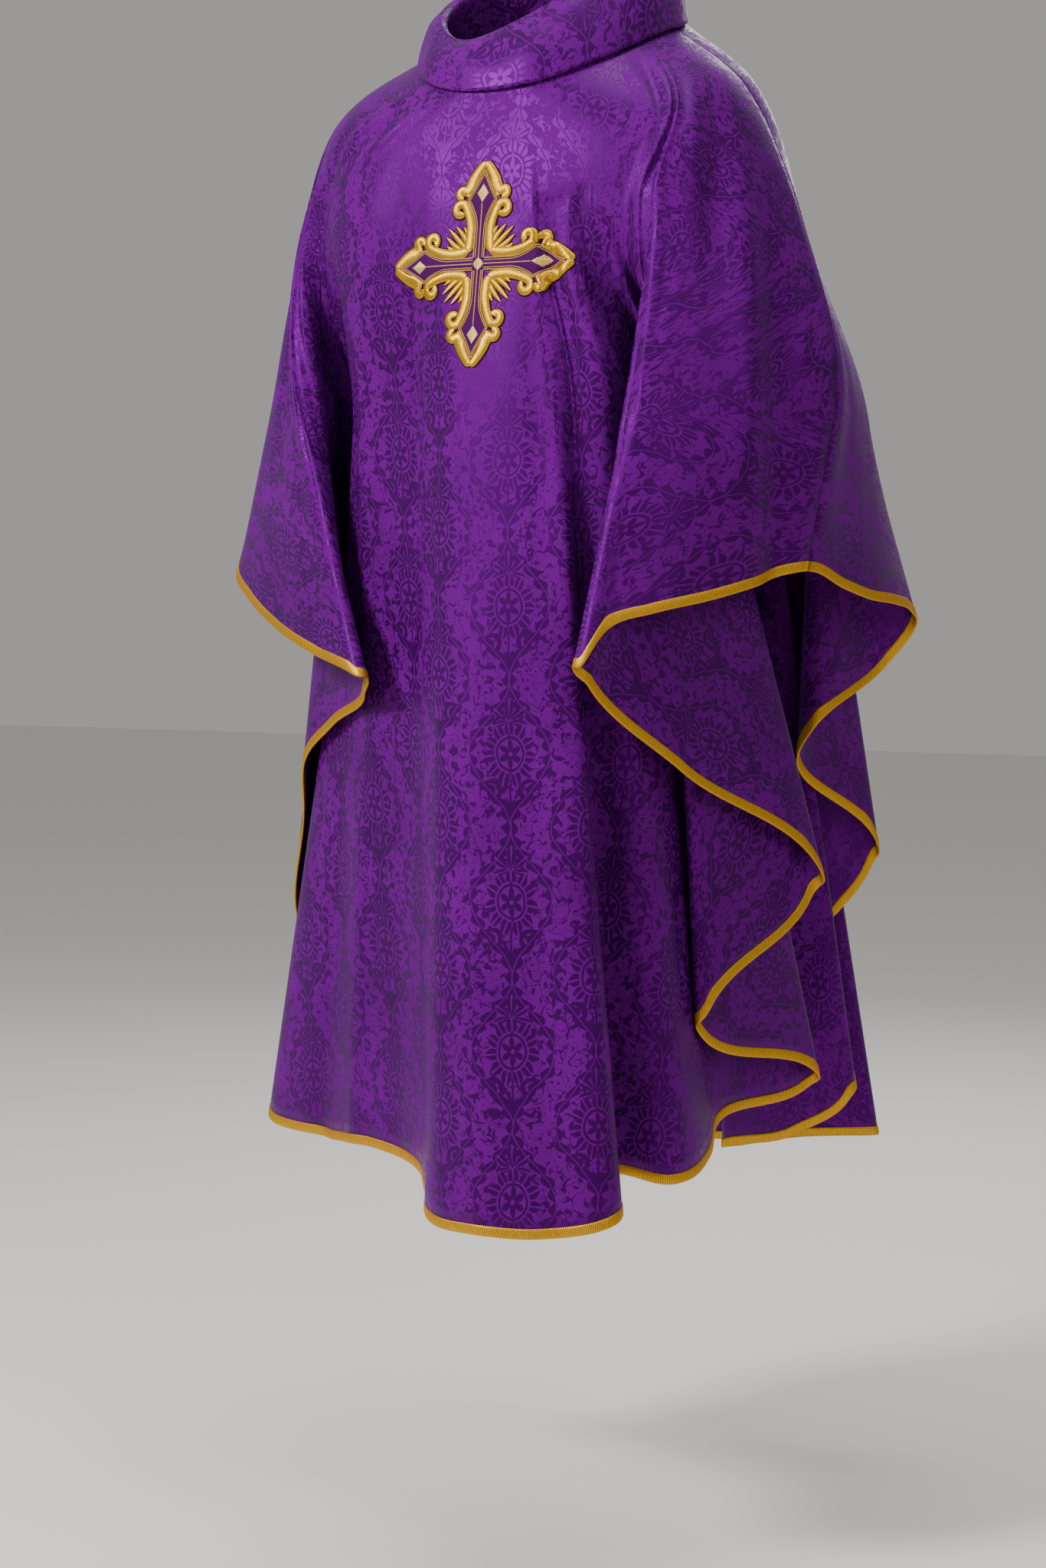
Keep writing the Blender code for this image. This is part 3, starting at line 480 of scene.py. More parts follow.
def makePanel(name, side, material):
    start, end = (0, cut["leftArm"]) if side == "front" else (cut["leftArm"], len(cut["u"]) - 1)
    columns = panelColumns(start, end, panelCloth["columnStep"])
    shares = np.concatenate([i + np.linspace(0, 1, n, endpoint=False)
                             for i, n in enumerate(panelCloth["levels"])])
    low = 4.0 - hemStep(columns, binding["width"] * 0.55)          # its edge lies inside the folded braid
    v = np.where(shares[None, :] <= 3, shares[None, :], 3 + (shares[None, :] - 3) * (low[:, None] - 3))
    v = np.column_stack([v, low])
    rows, levels = v.shape
    u = np.repeat(columns, levels)
    grid = clothPoints(u, v.ravel()).reshape(rows, levels, 3)
    for edge, beside in ((0, 1), (-1, -2)):
        grid[edge] += unit(grid[beside] - grid[edge]) * panelCloth["seamGap"]
    normal = clothNormals(u, v.ravel()).reshape(rows, levels, 3)
    outer, inner = grid + normal * panelCloth["thick"] / 2, grid - normal * panelCloth["thick"] / 2
    middleU = cut["uMiddle"] if side == "front" else cut["uBack"]
    uv = flatCut(grid, int(np.argmin(np.abs(columns - middleU))))
    points = np.concatenate([outer.reshape(-1, 3), inner.reshape(-1, 3)])
    return addMesh(name, points, wallFaces(rows, levels), np.concatenate([uv.reshape(-1, 2)] * 2),
                   material, (side + "_panel",))


binding = {"width": 0.0105, "thick": 0.0034, "columnStep": 0.0062, "sides": 16}


def makeBinding(name, side, material):
    # Braid folded over the raw edge: a flattened oval section, carried along the hem.
    start, end = (0, cut["leftArm"]) if side == "front" else (cut["leftArm"], len(cut["u"]) - 1)
    u = panelColumns(start, end, binding["columnStep"])
    hem = clothPoints(u, np.full(len(u), 4.0))
    above = clothPoints(u, 4.0 - hemStep(u, binding["width"]))
    normal = clothNormals(u, 4.0 - hemStep(u, binding["width"] * 0.5))
    for edge, beside in ((0, 1), (-1, -2)):
        shift = unit(hem[beside] - hem[edge]) * panelCloth["seamGap"]
        hem[edge] += shift
        above[edge] += shift
    middle, reach = (hem + above) / 2, (above - hem) / 2
    turn = np.linspace(0, 2 * math.pi, binding["sides"], endpoint=False)
    s = np.sign(np.cos(turn)) * np.abs(np.cos(turn)) ** 0.6
    t = np.sign(np.sin(turn)) * np.abs(np.sin(turn)) ** 0.8 * (0.82 + 0.18 * np.cos(turn) ** 2)
    ring = (middle[:, None] + reach[:, None] * s[None, :, None]
            + normal[:, None] * t[None, :, None] * binding["thick"] / 2)
    sides, rows = binding["sides"], len(u)
    quads = gridQuads(rows, sides, closeColumns=True)
    caps = [list(range(sides))[::-1], [(rows - 1) * sides + k for k in range(sides)]]
    along = np.concatenate([[0], np.cumsum(np.linalg.norm(np.diff(hem, axis=0), axis=1))])
    girth = np.linspace(0, 2 * binding["width"], sides, endpoint=False)
    uv = np.stack(np.broadcast_arrays(along[:, None], girth[None, :]), -1)
    return addMesh(name, ring, quads[:, ::-1].tolist() + caps, uv,
                   material, (side + "_binding",))


collarForm = {
    "ringHalfWidth": 0.113, "ringFront": 0.115, "ringBack": 0.060, "ringShiftX": -0.010,
    "height": 0.062, "lean": 0.020, "backRise": 0.012, "dip": 0.008, "dipDeg": -18.0, "dipSpread": 25.0,
    "roll": 0.006, "thick": 0.0022, "around": 240, "stepsPerSpan": 7,
    # each wave's height in metres, its turns round the collar, its slant and its start
    "waves": ((0.0022, 3, 7.0, 0.6), (0.0013, 7, -9.0, 0.0), (0.0008, 13, 11.0, 1.9)),
    "wavesAt": 0.22, "wavesSpread": 0.16}


def makeCollar(name, material):
    # A doubled roll: up inside from the neck seam, over, and down outside to a free edge on the shoulders.
    # Each bearing has a path of nine places, and a Catmull-Rom curve runs through them.
    form = collarForm
    bearing = np.linspace(-90.0, 270.0, form["around"], endpoint=False)
    tableU = np.linspace(0.0, cut["u"][-1], 1600)
    u = np.interp(bearing, threadsAt(tableU)[2], tableU)
    at, count = np.radians(bearing), form["around"]
    seam = plainPoints(u, np.zeros(count))
    lower = np.full(count, 0.10)
    seamIn = seam - unit(plainPoints(u, lower) - seam) * 0.0026
    free = plainPoints(u, lower) + plainNormals(u, lower) * 0.0036
    x, y = oval(at, form["ringHalfWidth"], form["ringFront"], form["ringBack"], 2.1)
    dip = form["dip"] * np.exp(-(((bearing - form["dipDeg"] + 180) % 360 - 180) / form["dipSpread"]) ** 2)
    height = form["height"] + form["lean"] * np.sin(at) + form["backRise"] * (1 - np.cos(at)) / 2 - dip
    top = np.column_stack([x + form["ringShiftX"], y, seam[:, 2] + height])
    out = unit(np.column_stack([x, y, np.zeros(count)]))
    up = np.array([[0.0, 0.0, 1.0]])
    roll = form["roll"]
    path = np.stack([
        free, free * 0.62 + top * 0.38 + out * 0.0065, free * 0.25 + top * 0.75 + out * 0.0075,
        top + out * roll * 0.75 - up * roll * 0.55, top, top - out * roll - up * roll * 0.8,
        top * 0.62 + seamIn * 0.38 - out * 0.0060, top * 0.25 + seamIn * 0.75 - out * 0.0030, seamIn], axis=1)
    padded = np.concatenate([2 * path[:, :1] - path[:, 1:2], path, 2 * path[:, -1:] - path[:, -2:-1]], axis=1)
    t = np.linspace(0, 1, form["stepsPerSpan"], endpoint=False)[None, None, :, None]
    p0, p1, p2, p3 = (padded[:, k:k + 8, None] for k in range(4))
    curve = 0.5 * (2 * p1 + (p2 - p0) * t + (2 * p0 - 5 * p1 + 4 * p2 - p3) * t ** 2
                   + (3 * p1 - p0 - 3 * p2 + p3) * t ** 3)
    grid = np.concatenate([curve.reshape(count, -1, 3), path[:, -1:]], axis=1)
    # soft wrinkles round the roll: a few slanting waves, strongest half way down the outside
    down = np.linspace(0, 1, grid.shape[1])[None, :]
    waves = sum(height * np.sin(turns * at[:, None] + slant * down + start)
                for height, turns, slant, start in form["waves"])
    waves = waves * np.exp(-((down - form["wavesAt"]) / form["wavesSpread"]) ** 2)
    grid = grid + out[:, None] * waves[..., None]
    outer, inner = wallPoints(grid, form["thick"], True)
    ringStep = np.linalg.norm(np.roll(top, -1, axis=0) - top, axis=1)
    along = np.concatenate([[0], np.cumsum(ringStep)[:-1]])
    fall = np.concatenate([[0], np.cumsum(np.linalg.norm(np.diff(grid, axis=1), axis=2).mean(0))])
    uv = np.stack(np.broadcast_arrays(along[:, None], -fall[None, :] - 0.06), -1)
    points = np.concatenate([outer.reshape(-1, 3), inner.reshape(-1, 3)])
    return addMesh(name, points, wallFaces(*grid.shape[:2], True), np.concatenate([uv.reshape(-1, 2)] * 2),
                   material, ("collar",))


# The embroidered cross: a generic cross with flared arms, scrolls and pointed ends, drawn flat in
# shares of its radius and then laid on the chest

cross = {"radius": 0.107, "centreX": 0.005, "centreZ": -0.245, "tall": 0.985, "step": 0.003,
         "lift": 0.0005, "felt": 0.0007, "outline": 0.0011, "satin": 0.0019,
         # leaf rays: degrees from the corner's middle line, start and end in shares of the radius
         "rays": ((0, 0.17, 0.490), (9, 0.18, 0.455), (-9, 0.18, 0.455),
                  (18, 0.20, 0.400), (-18, 0.20, 0.400)),
         # lozenges in steps, one on the other: half length, half width and height
         "lozengeAt": 0.672, "lozenges": ((0.088, 0.070, 1.05), (0.050, 0.038, 1.35), (0.018, 0.014, 1.6))}


def layChest():
    # Newton steps on (u, v) until each point of a flat grid over the cross lies straight behind its place
    reach = cross["radius"] * 1.12
    side = np.arange(-reach, reach + cross["step"], cross["step"])
    a, b = (g.ravel() for g in np.meshgrid(side, side, indexing="ij"))
    x, z = a + cross["centreX"], b * cross["tall"] + cross["centreZ"]
    u, v = cut["uMiddle"] + x * 1.9, np.clip(1.55 + (-0.16 - z) * 5.5, 1.2, 3.0)
    e = 1e-3
    for _ in range(9):
        here = clothPoints(u, v)
        du, dv = (clothPoints(u + e, v) - here) / e, (clothPoints(u, v + e) - here) / e
        missX, missZ = x - here[:, 0], z - here[:, 2]
        det = du[:, 0] * dv[:, 2] - dv[:, 0] * du[:, 2]
        u = u + np.clip((missX * dv[:, 2] - missZ * dv[:, 0]) / det, -0.08, 0.08)
        v = v + np.clip((missZ * du[:, 0] - missX * du[:, 2]) / det, -0.3, 0.3)
    n = len(side)
    return side, clothPoints(u, v).reshape(n, n, 3), clothNormals(u, v).reshape(n, n, 3)


chestSide, chestPlaces, chestNormals = layChest()


def onChest(a, b, height):  # a place on the flat drawing, laid on the cloth and lifted off it by the height
    fa, fb = (np.clip((w - chestSide[0]) / cross["step"], 0, len(chestSide) - 1.001) for w in (a, b))
    i, j = fa.astype(int), fb.astype(int)
    s, t = (fa - i)[..., None], (fb - j)[..., None]

    def mixed(table):
        return ((table[i, j] * (1 - s) + table[i + 1, j] * s) * (1 - t)
                + (table[i, j + 1] * (1 - s) + table[i + 1, j + 1] * s) * t)
    return mixed(chestPlaces) + unit(mixed(chestNormals)) * height[..., None]


def throughPlaces(places, steps):  # a Catmull-Rom curve through a few places
    p = np.array(places, dtype=float)
    p = np.concatenate([2 * p[:1] - p[1:2], p, 2 * p[-1:] - p[-2:-1]])
    t = np.linspace(0, len(places) - 1, steps)
    k = np.clip(t.astype(int), 0, len(places) - 2)
    f = (t - k)[:, None]
    p0, p1, p2, p3 = p[k], p[k + 1], p[k + 2], p[k + 3]
    return 0.5 * (2 * p1 + (p2 - p0) * f + (2 * p0 - 5 * p1 + 4 * p2 - p3) * f ** 2
                  + (3 * p1 - p0 - 3 * p2 + p3) * f ** 3)


def bandOn(path, halfWidth, base, rise, sides=12):
    # A padded band: its section is a low dome over a flat back, carried along a flat path. The path and
    # half width are in shares of the radius, the heights in metres.
    way = unit(np.gradient(path, axis=0))
    side = np.stack([way[:, 1], -way[:, 0]], 1)
    turn = np.linspace(0, 2 * math.pi, sides, endpoint=False)
    out, up = np.cos(turn), np.maximum(np.sin(turn), 0) ** 0.75
    flat = path[:, None] + side[:, None] * (halfWidth[:, None] * out[None, :])[..., None]
    height = base + rise[:, None] * up[None, :] - 0.0002 * (np.sin(turn) < 0)[None, :]
    along = np.concatenate([[0], np.cumsum(np.linalg.norm(np.diff(path, axis=0), axis=1))]) * cross["radius"]
    across = halfWidth[:, None] * out[None, :] * cross["radius"]
    uv = np.stack(np.broadcast_arrays(along[:, None], across), -1)
    return flat, height, uv


def armTurns(mirrored=True):  # the four arms, and each arm's two sides
    return [(k * math.pi / 2, s) for k in range(4) for s in ((1, -1) if mirrored else (1,))]


def turned(flat, turn, side):  # arm coordinates (along, across) to the flat drawing
    s, t = flat[..., 0], flat[..., 1] * side
    return s * math.sin(turn) + t * math.cos(turn), s * math.cos(turn) - t * math.sin(turn)


def bandPiece(name, bands, material):
    # Every band on every arm, as one mesh. A band is a path, a half width, a base height and a rise.
    points, faces, uvs, start = [], [], [], 0
    for path, halfWidth, base, rise, turns in bands:
        flat, height, uv = bandOn(path, halfWidth, base, rise)
        rows, sides = height.shape
        for turn, side in turns:
            a, b = turned(flat, turn, side)
            points.append(onChest(a * cross["radius"], b * cross["radius"], height).reshape(-1, 3))
            quads = gridQuads(rows, sides, start, side < 0, closeColumns=True).tolist()
            lastRow = start + (rows - 1) * sides
            caps = [[start + k for k in range(sides)], [lastRow + k for k in range(sides)][::-1]]
            faces += quads + [c[::-1] if side < 0 else c for c in caps]
            uvs.append(uv.reshape(-1, 2))
            start += rows * sides
    return addMesh(name, np.concatenate(points), faces, np.concatenate(uvs), material)


def armWidth(s):
    # half width of the purple arm: narrow, then a concave flare to the shoulder, then in to the point
    flare = 0.052 + 0.100 * np.clip((s - 0.33) / 0.28, 0, 1) ** 1.9
    point = 0.152 * np.clip((0.90 - s) / 0.29, 0, 1) ** 1.15
    return np.minimum(flare, point)


def tapered(count, full, first=0.25, last=0.25, ends=0.12):  # a width that rounds off at both ends
    t = np.linspace(0, 1, count)
    a, b = (np.sqrt(1 - (1 - np.clip(share / ends, 0, 1)) ** 2) for share in (t, 1 - t))
    return full * (first + (1 - first) * a) * (last + (1 - last) * b)


def makeCross(materials):
    base, felt, satin = cross["lift"], cross["felt"], cross["satin"]
    radius = cross["radius"]
    # the scroll beside each arm: from the inner corner, out along the flare, and round its curl
    curlTurn = np.radians(np.linspace(-70, 235, 13))
    curlReach = np.linspace(0.072, 0.026, 13)
    curl = [(0.515 + r * math.cos(t), 0.232 + r * math.sin(t)) for t, r in zip(curlTurn, curlReach)]
    flare = [(0.118, 0.118), (0.20, 0.108), (0.32, 0.103), (0.42, 0.122), (0.50, 0.150)]
    scroll = throughPlaces(flare + curl[1:], 72)
    alongScroll = np.linspace(0, 1, 72)
    scrollWidth = 0.054 * tapered(72, 1.0, 0.3, 0.6, 0.06) * (
        1 - 0.18 * smoothStep(alongScroll, 0.0, 0.25) + 0.10 * smoothStep(alongScroll, 0.7, 1.0))
    # the pointed end: from its ear, in at the waist, out round the bulge and up to the tip
    earTurn = np.radians(np.linspace(200, -30, 9))
    ear = [(0.672 + 0.036 * math.cos(t), 0.222 + 0.036 * math.sin(t)) for t in earTurn]
    tip = throughPlaces(ear + [(0.700, 0.170), (0.745, 0.138), (0.800, 0.118), (0.860, 0.086), (0.925, 0.040),
                               (0.968, 0.004)], 64)
    bulge = 1 + 0.45 * np.exp(-((np.linspace(0, 1, 64) - 0.72) / 0.16) ** 2)
    tipWidth = 0.042 * bulge * tapered(64, 1.0, 0.7, 0.25, 0.07)
    # a short band that joins the pointed end to the shoulder of the arm
    neckBand = throughPlaces([(0.640, 0.150), (0.676, 0.158), (0.715, 0.145)], 14)
    bands = [(scroll, scrollWidth, base + felt, satin * tapered(72, 1.0, 0.3, 0.6, 0.05), armTurns()),
             (tip, tipWidth, base + felt, satin * tapered(64, 1.0, 0.6, 0.5, 0.05), armTurns()),
             (neckBand, tapered(14, 0.026), base + felt, satin * 0.8 * tapered(14, 1.0), armTurns())]
    # leaf rays in each corner, the middle one longest
    for spread, start, end in cross["rays"]:
        at = math.radians(45 + spread)
        way = np.array([math.cos(at), math.sin(at)])
        bow = np.array([-way[1], way[0]]) * 0.012 * np.sign(spread)
        leaf = throughPlaces([way * start, way * (start + end) / 2 + bow, way * end], 22)
        bands.append((leaf, 0.027 * np.sin(np.linspace(0.35, math.pi * 0.97, 22)) ** 0.7, base + felt * 0.9,
                      satin * 0.7 * np.sin(np.linspace(0.3, math.pi * 0.97, 22)) ** 0.6, armTurns(False)))
    gold = bandPiece("cross_gold", bands, materials["satin"])
    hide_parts("cross_emblem")
    # the dark felt that shows as a fine outline round every band
    edge = cross["outline"] / radius
    felts = [(path, halfWidth + edge, base, np.full(len(path), felt), turns)
             for path, halfWidth, _, _, turns in bands]
    bandPiece("cross_felt", felts, materials["felt"])
    # the purple arms, flat and close stitched, with a raised gold line round them
    s = np.linspace(0.0, 0.895, 90)
    width = np.maximum(armWidth(s), 0.004)
    arm = (np.stack([s, 0 * s], 1), width, base + felt * 0.6, np.full(len(s), satin * 0.62), armTurns(False))
    bandPiece("cross_arms", [arm], materials["armSatin"])
    line = 0.0065
    lineBands = []
    for inset, rise in ((0.004, 1.0), (-0.016, 0.75)):
        edgePath = np.stack([s[6:], np.maximum(width[6:] + inset, 0.0)], 1)
        lineBands.append((edgePath, np.full(len(edgePath), line * rise), base + felt * 1.2,
                          np.full(len(edgePath), satin * 0.62 * rise), armTurns()))
    middle = np.stack([np.linspace(0.06, 0.58, 40), np.zeros(40)], 1)
    lineBands.append((middle, np.full(40, 0.006), base + felt * 1.3, np.full(40, satin * 0.65),
                      armTurns(False)))
    bandPiece("cross_lines", lineBands, materials["cord"])
    # the stitched lozenges near the ends and the boss in the middle
    gems = []
    for along, across, rise in cross["lozenges"]:
        path = np.stack([cross["lozengeAt"] + np.linspace(-along, along, 25), np.zeros(25)], 1)
        half = np.maximum(across * (1 - np.abs(np.linspace(-1, 1, 25))), 0.002)
        gems.append((path, half, base + felt, np.full(25, satin * rise * 0.72), armTurns(False)))
    for reach, rise in ((0.062, 1.2), (0.030, 1.6)):
        path = np.stack([np.linspace(-reach, reach, 21), np.zeros(21)], 1)
        half = np.maximum(reach * (1 - np.abs(np.linspace(-1, 1, 21)) ** 1.5), 0.003)
        gems.append((path, half, base + felt, np.full(21, satin * rise * 0.7), armTurns(False)[:1]))
    bandPiece("cross_lozenges", gems, materials["paleSatin"])


# Materials. One small function adds a node with its settings and its links.

def addNode(material, kind, inputs=None, **settings):
    node = material.node_tree.nodes.new(kind)
    for key, value in settings.items():
        setattr(node, key, value)
    for key, value in (inputs or {}).items():
        if isinstance(value, bpy.types.NodeSocket):
            material.node_tree.links.new(value, node.inputs[key])
        else:
            node.inputs[key].default_value = value
    return node


def newMaterial(name):
    material = bpy.data.materials.new(name)
    material.use_nodes = True
    material.node_tree.nodes.clear()
    return material


def finishMaterial(material, surface, height=None, strength=0.2, depth=0.001):
    if height is not None:
        bump = addNode(material, "ShaderNodeBump", {
            "Height": height, "Strength": strength, "Distance": depth})
        surface = {**surface, "Normal": bump.outputs["Normal"]}
    shader = addNode(material, "ShaderNodeBsdfPrincipled", surface)
    addNode(material, "ShaderNodeOutputMaterial", {"Surface": shader.outputs["BSDF"]})
    return material


def runSteps(material, steps, values):
    # a formula as a list of steps: result, operation, then its inputs as numbers or earlier results
    for result, operation, *inputs in steps:
        given = {i: values[x] if isinstance(x, str) else x for i, x in enumerate(inputs)}
        values[result] = addNode(material, "ShaderNodeMath", given, operation=operation).outputs[0]
    return values


damask = {
    "repeatWidth": 0.084, "repeatHeight": 0.146,     # one repeat of the half-drop pattern, in metres of cloth
    "ground": "#6A0084", "figure": "#3A004E", "shine": "#D000FF",
    "threadPitch": 0.0011}      # real threads are 0.15 mm; drawn coarser so that they show

# the figure of the damask, within one repeat: A across from its middle, up to 5.8, and B up, -10 to 10
damaskSteps = (
    ("across", "DIVIDE", "x", damask["repeatWidth"]),
    ("column", "FLOOR", "across"),
    ("odd", "FLOORED_MODULO", "column", 2.0),
    ("p0", "SUBTRACT", "across", "column"),
    ("p1", "SUBTRACT", "p0", 0.5),
    ("p", "ABSOLUTE", "p1"),
    ("up", "DIVIDE", "y", damask["repeatHeight"]),
    ("drop", "MULTIPLY_ADD", "odd", 0.5, "up"),
    ("row", "FLOOR", "drop"),
    ("q0", "SUBTRACT", "drop", "row"),
    ("q", "SUBTRACT", "q0", 0.5),
    ("A", "MULTIPLY", "p", 11.6),
    ("B", "MULTIPLY", "q", 20.5),
    # the ogee frame runs where A equals its half width, and opens and closes once a repeat
    ("turn", "MULTIPLY", "q", 2 * math.pi),
    ("wave", "COSINE", "turn"),
    ("frameAt", "MULTIPLY_ADD", "wave", 2.9, 2.9),
    ("off0", "SUBTRACT", "A", "frameAt"),
    ("off", "ABSOLUTE", "off0"),
    ("leafTurn", "MULTIPLY", "q", 11 * math.pi),
    ("leafWave", "SINE", "leafTurn"),
    ("leafSize0", "ABSOLUTE", "leafWave"),
    ("leafSize", "MULTIPLY_ADD", "leafSize0", 0.80, 0.22),
    ("frame", "SUBTRACT", "leafSize", "off"),
    ("frameVein0", "SUBTRACT", 0.08, "off"),
    # the flower in the middle of the repeat: six petals, a ring, and a border of lobes
    ("B8", "MULTIPLY", "B", 0.80),
    ("rr0", "MULTIPLY", "A", "A"),
    ("rr", "MULTIPLY_ADD", "B8", "B8", "rr0"),
    ("r", "SQRT", "rr"),
    ("angle", "ARCTAN2", "A", "B8"),
    ("petal0", "MULTIPLY", "angle", 3.0),
    ("petal1", "COSINE", "petal0"),
    ("petal2", "ABSOLUTE", "petal1"),
    ("petal3", "MULTIPLY_ADD", "petal2", 1.05, 0.55),
    ("petal", "SUBTRACT", "petal3", "r"),
    ("eye", "SUBTRACT", 0.28, "r"),
    ("ring0", "SUBTRACT", "r", 1.85),
    ("ring1", "ABSOLUTE", "ring0"),
    ("ring", "SUBTRACT", 0.17, "ring1"),
    ("lobe0", "MULTIPLY", "angle", 5.5),
    ("lobe1", "COSINE", "lobe0"),
    ("lobe2", "ABSOLUTE", "lobe1"),
    ("lobe3", "MULTIPLY_ADD", "lobe2", 1.05, 2.70),
    ("lobe4", "SUBTRACT", "lobe3", "r"),
    ("lobe5", "SUBTRACT", "r", 2.25),
    ("lobe", "MINIMUM", "lobe4", "lobe5"),
    ("rib0", "MULTIPLY", "angle", 22.0),
    ("rib1", "COSINE", "rib0"),
    ("rib2", "MULTIPLY_ADD", "rib1", 0.5, -0.36),
    # the palmette above it: a fan of seven leaves on a short stem
    ("fanB", "SUBTRACT", "B", 4.6),
    ("fr0", "MULTIPLY", "A", "A"),
    ("fr1", "MULTIPLY_ADD", "fanB", "fanB", "fr0"),
    ("fr", "SQRT", "fr1"),
    ("fanAngle", "ARCTAN2", "A", "fanB"),
    ("fan0", "MULTIPLY", "fanAngle", 3.4),
    ("fan1", "COSINE", "fan0"),
    ("fan2", "ABSOLUTE", "fan1"),
    ("fan3", "POWER", "fan2", 0.7),
    ("fan4", "MULTIPLY_ADD", "fan3", 2.5, 0.80),
    ("fan5", "MULTIPLY_ADD", "fanAngle", -0.42, "fan4"),
    ("fan6", "SUBTRACT", "fan5", "fr"),
    ("fan7", "SUBTRACT", "fr", 0.45),
    ("fan8", "MINIMUM", "fan6", "fan7"),
    ("fan9", "SUBTRACT", 2.15, "fanAngle"),
    ("fan", "MINIMUM", "fan8", "fan9"),
    ("fanRib0", "MULTIPLY", "fanAngle", 13.6),
    ("fanRib1", "COSINE", "fanRib0"),
    ("fanRib2", "MULTIPLY_ADD", "fanRib1", 0.5, -0.38),
    # scrolls that spring from the frame, below and beside the flower
    ("sA", "SUBTRACT", "A", 2.55),
    ("sB", "ADD", "B", 5.3),
    ("s0", "MULTIPLY", "sA", "sA"),
    ("s1", "MULTIPLY_ADD", "sB", "sB", "s0"),
    ("sr", "SQRT", "s1"),
    ("sAngle", "ARCTAN2", "sB", "sA"),
    ("spiral0", "MULTIPLY_ADD", "sr", 4.2, "sAngle"),
    ("spiral1", "SINE", "spiral0"),
    ("spiral2", "SUBTRACT", "spiral1", 0.15),
    ("spiral3", "SUBTRACT", 1.75, "sr"),
    ("spiral4", "MULTIPLY", "spiral2", 0.6),
    ("spiral", "MINIMUM", "spiral3", "spiral4"),
    # a bud on a stem at the foot of the repeat
    ("budB", "ADD", "B", 7.7),
    ("bud0", "MULTIPLY", "budB", 0.55),
    ("bud1", "MULTIPLY", "A", "A"),
    ("bud2", "MULTIPLY_ADD", "bud0", "bud0", "bud1"),
    ("bud3", "SQRT", "bud2"),
    ("bud4", "ARCTAN2", "A", "bud0"),
    ("bud5", "MULTIPLY", "bud4", 4.5),
    ("bud6", "COSINE", "bud5"),
    ("bud7", "ABSOLUTE", "bud6"),
    ("bud8", "MULTIPLY_ADD", "bud7", 0.55, 0.55),
    ("bud", "SUBTRACT", "bud8", "bud3"),
    ("stem", "SUBTRACT", 0.15, "A"),
    # everything together; the ribs cut fine light lines through the leaves
    ("m1", "MAXIMUM", "frame", "petal"),
    ("m2", "MAXIMUM", "m1", "ring"),
    ("m3", "MAXIMUM", "m2", "lobe"),
    ("m4", "MAXIMUM", "m3", "fan"),
    ("m5", "MAXIMUM", "m4", "spiral"),
    ("m6", "MAXIMUM", "m5", "bud"),
    ("m7", "MAXIMUM", "m6", "stem"),
    # tendrils and small leaves that fill the ground between the frames
    ("leafOff", "SUBTRACT", "leafNoise", 0.588),
    ("tendril0", "SUBTRACT", "tendrilNoise", 0.5),
    ("tendril1", "ABSOLUTE", "tendril0"),
    ("tendril2", "SUBTRACT", 0.020, "tendril1"),
    ("fill0", "MAXIMUM", "leafOff", "tendril2"),
    ("fill1", "MULTIPLY", "fill0", 4.0),
    ("room", "SUBTRACT", "off", 0.95),
    ("away", "SUBTRACT", "r", 3.3),
    ("fill2", "MINIMUM", "fill1", "room"),
    ("fill", "MINIMUM", "fill2", "away"),
    ("m8", "MAXIMUM", "m7", "fill"),
    ("cut1", "MINIMUM", "rib2", "lobe"),
    ("cut2", "MINIMUM", "fanRib2", "fan"),
    ("cut3", "MAXIMUM", "cut1", "cut2"),
    ("cut4", "MAXIMUM", "cut3", "frameVein0"),
    ("cut5", "MAXIMUM", "cut4", "eye"),
    ("signed0", "MULTIPLY", "cut5", -1.0),
    ("signed", "MINIMUM", "m8", "signed0"),
)


def noiseIn(material, uv, scale, detail, distortion=0.0):  # a noise of the cloth's own places
    return addNode(material, "ShaderNodeTexNoise", {
        "Vector": uv, "Scale": scale, "Detail": detail, "Distortion": distortion})


def between(material, share, low, high):  # a plain scale from low, at a share of 0, to high, at 1
    return addNode(material, "ShaderNodeMapRange", {"Value": share, "To Min": low, "To Max": high}).outputs[0]


def mixedColour(material, share, first, second):  # from the first colour, at a share of 0, to the second
    return addNode(material, "ShaderNodeMix", {0: share, 6: fromHex(first), 7: fromHex(second)},
                   data_type="RGBA").outputs[2]


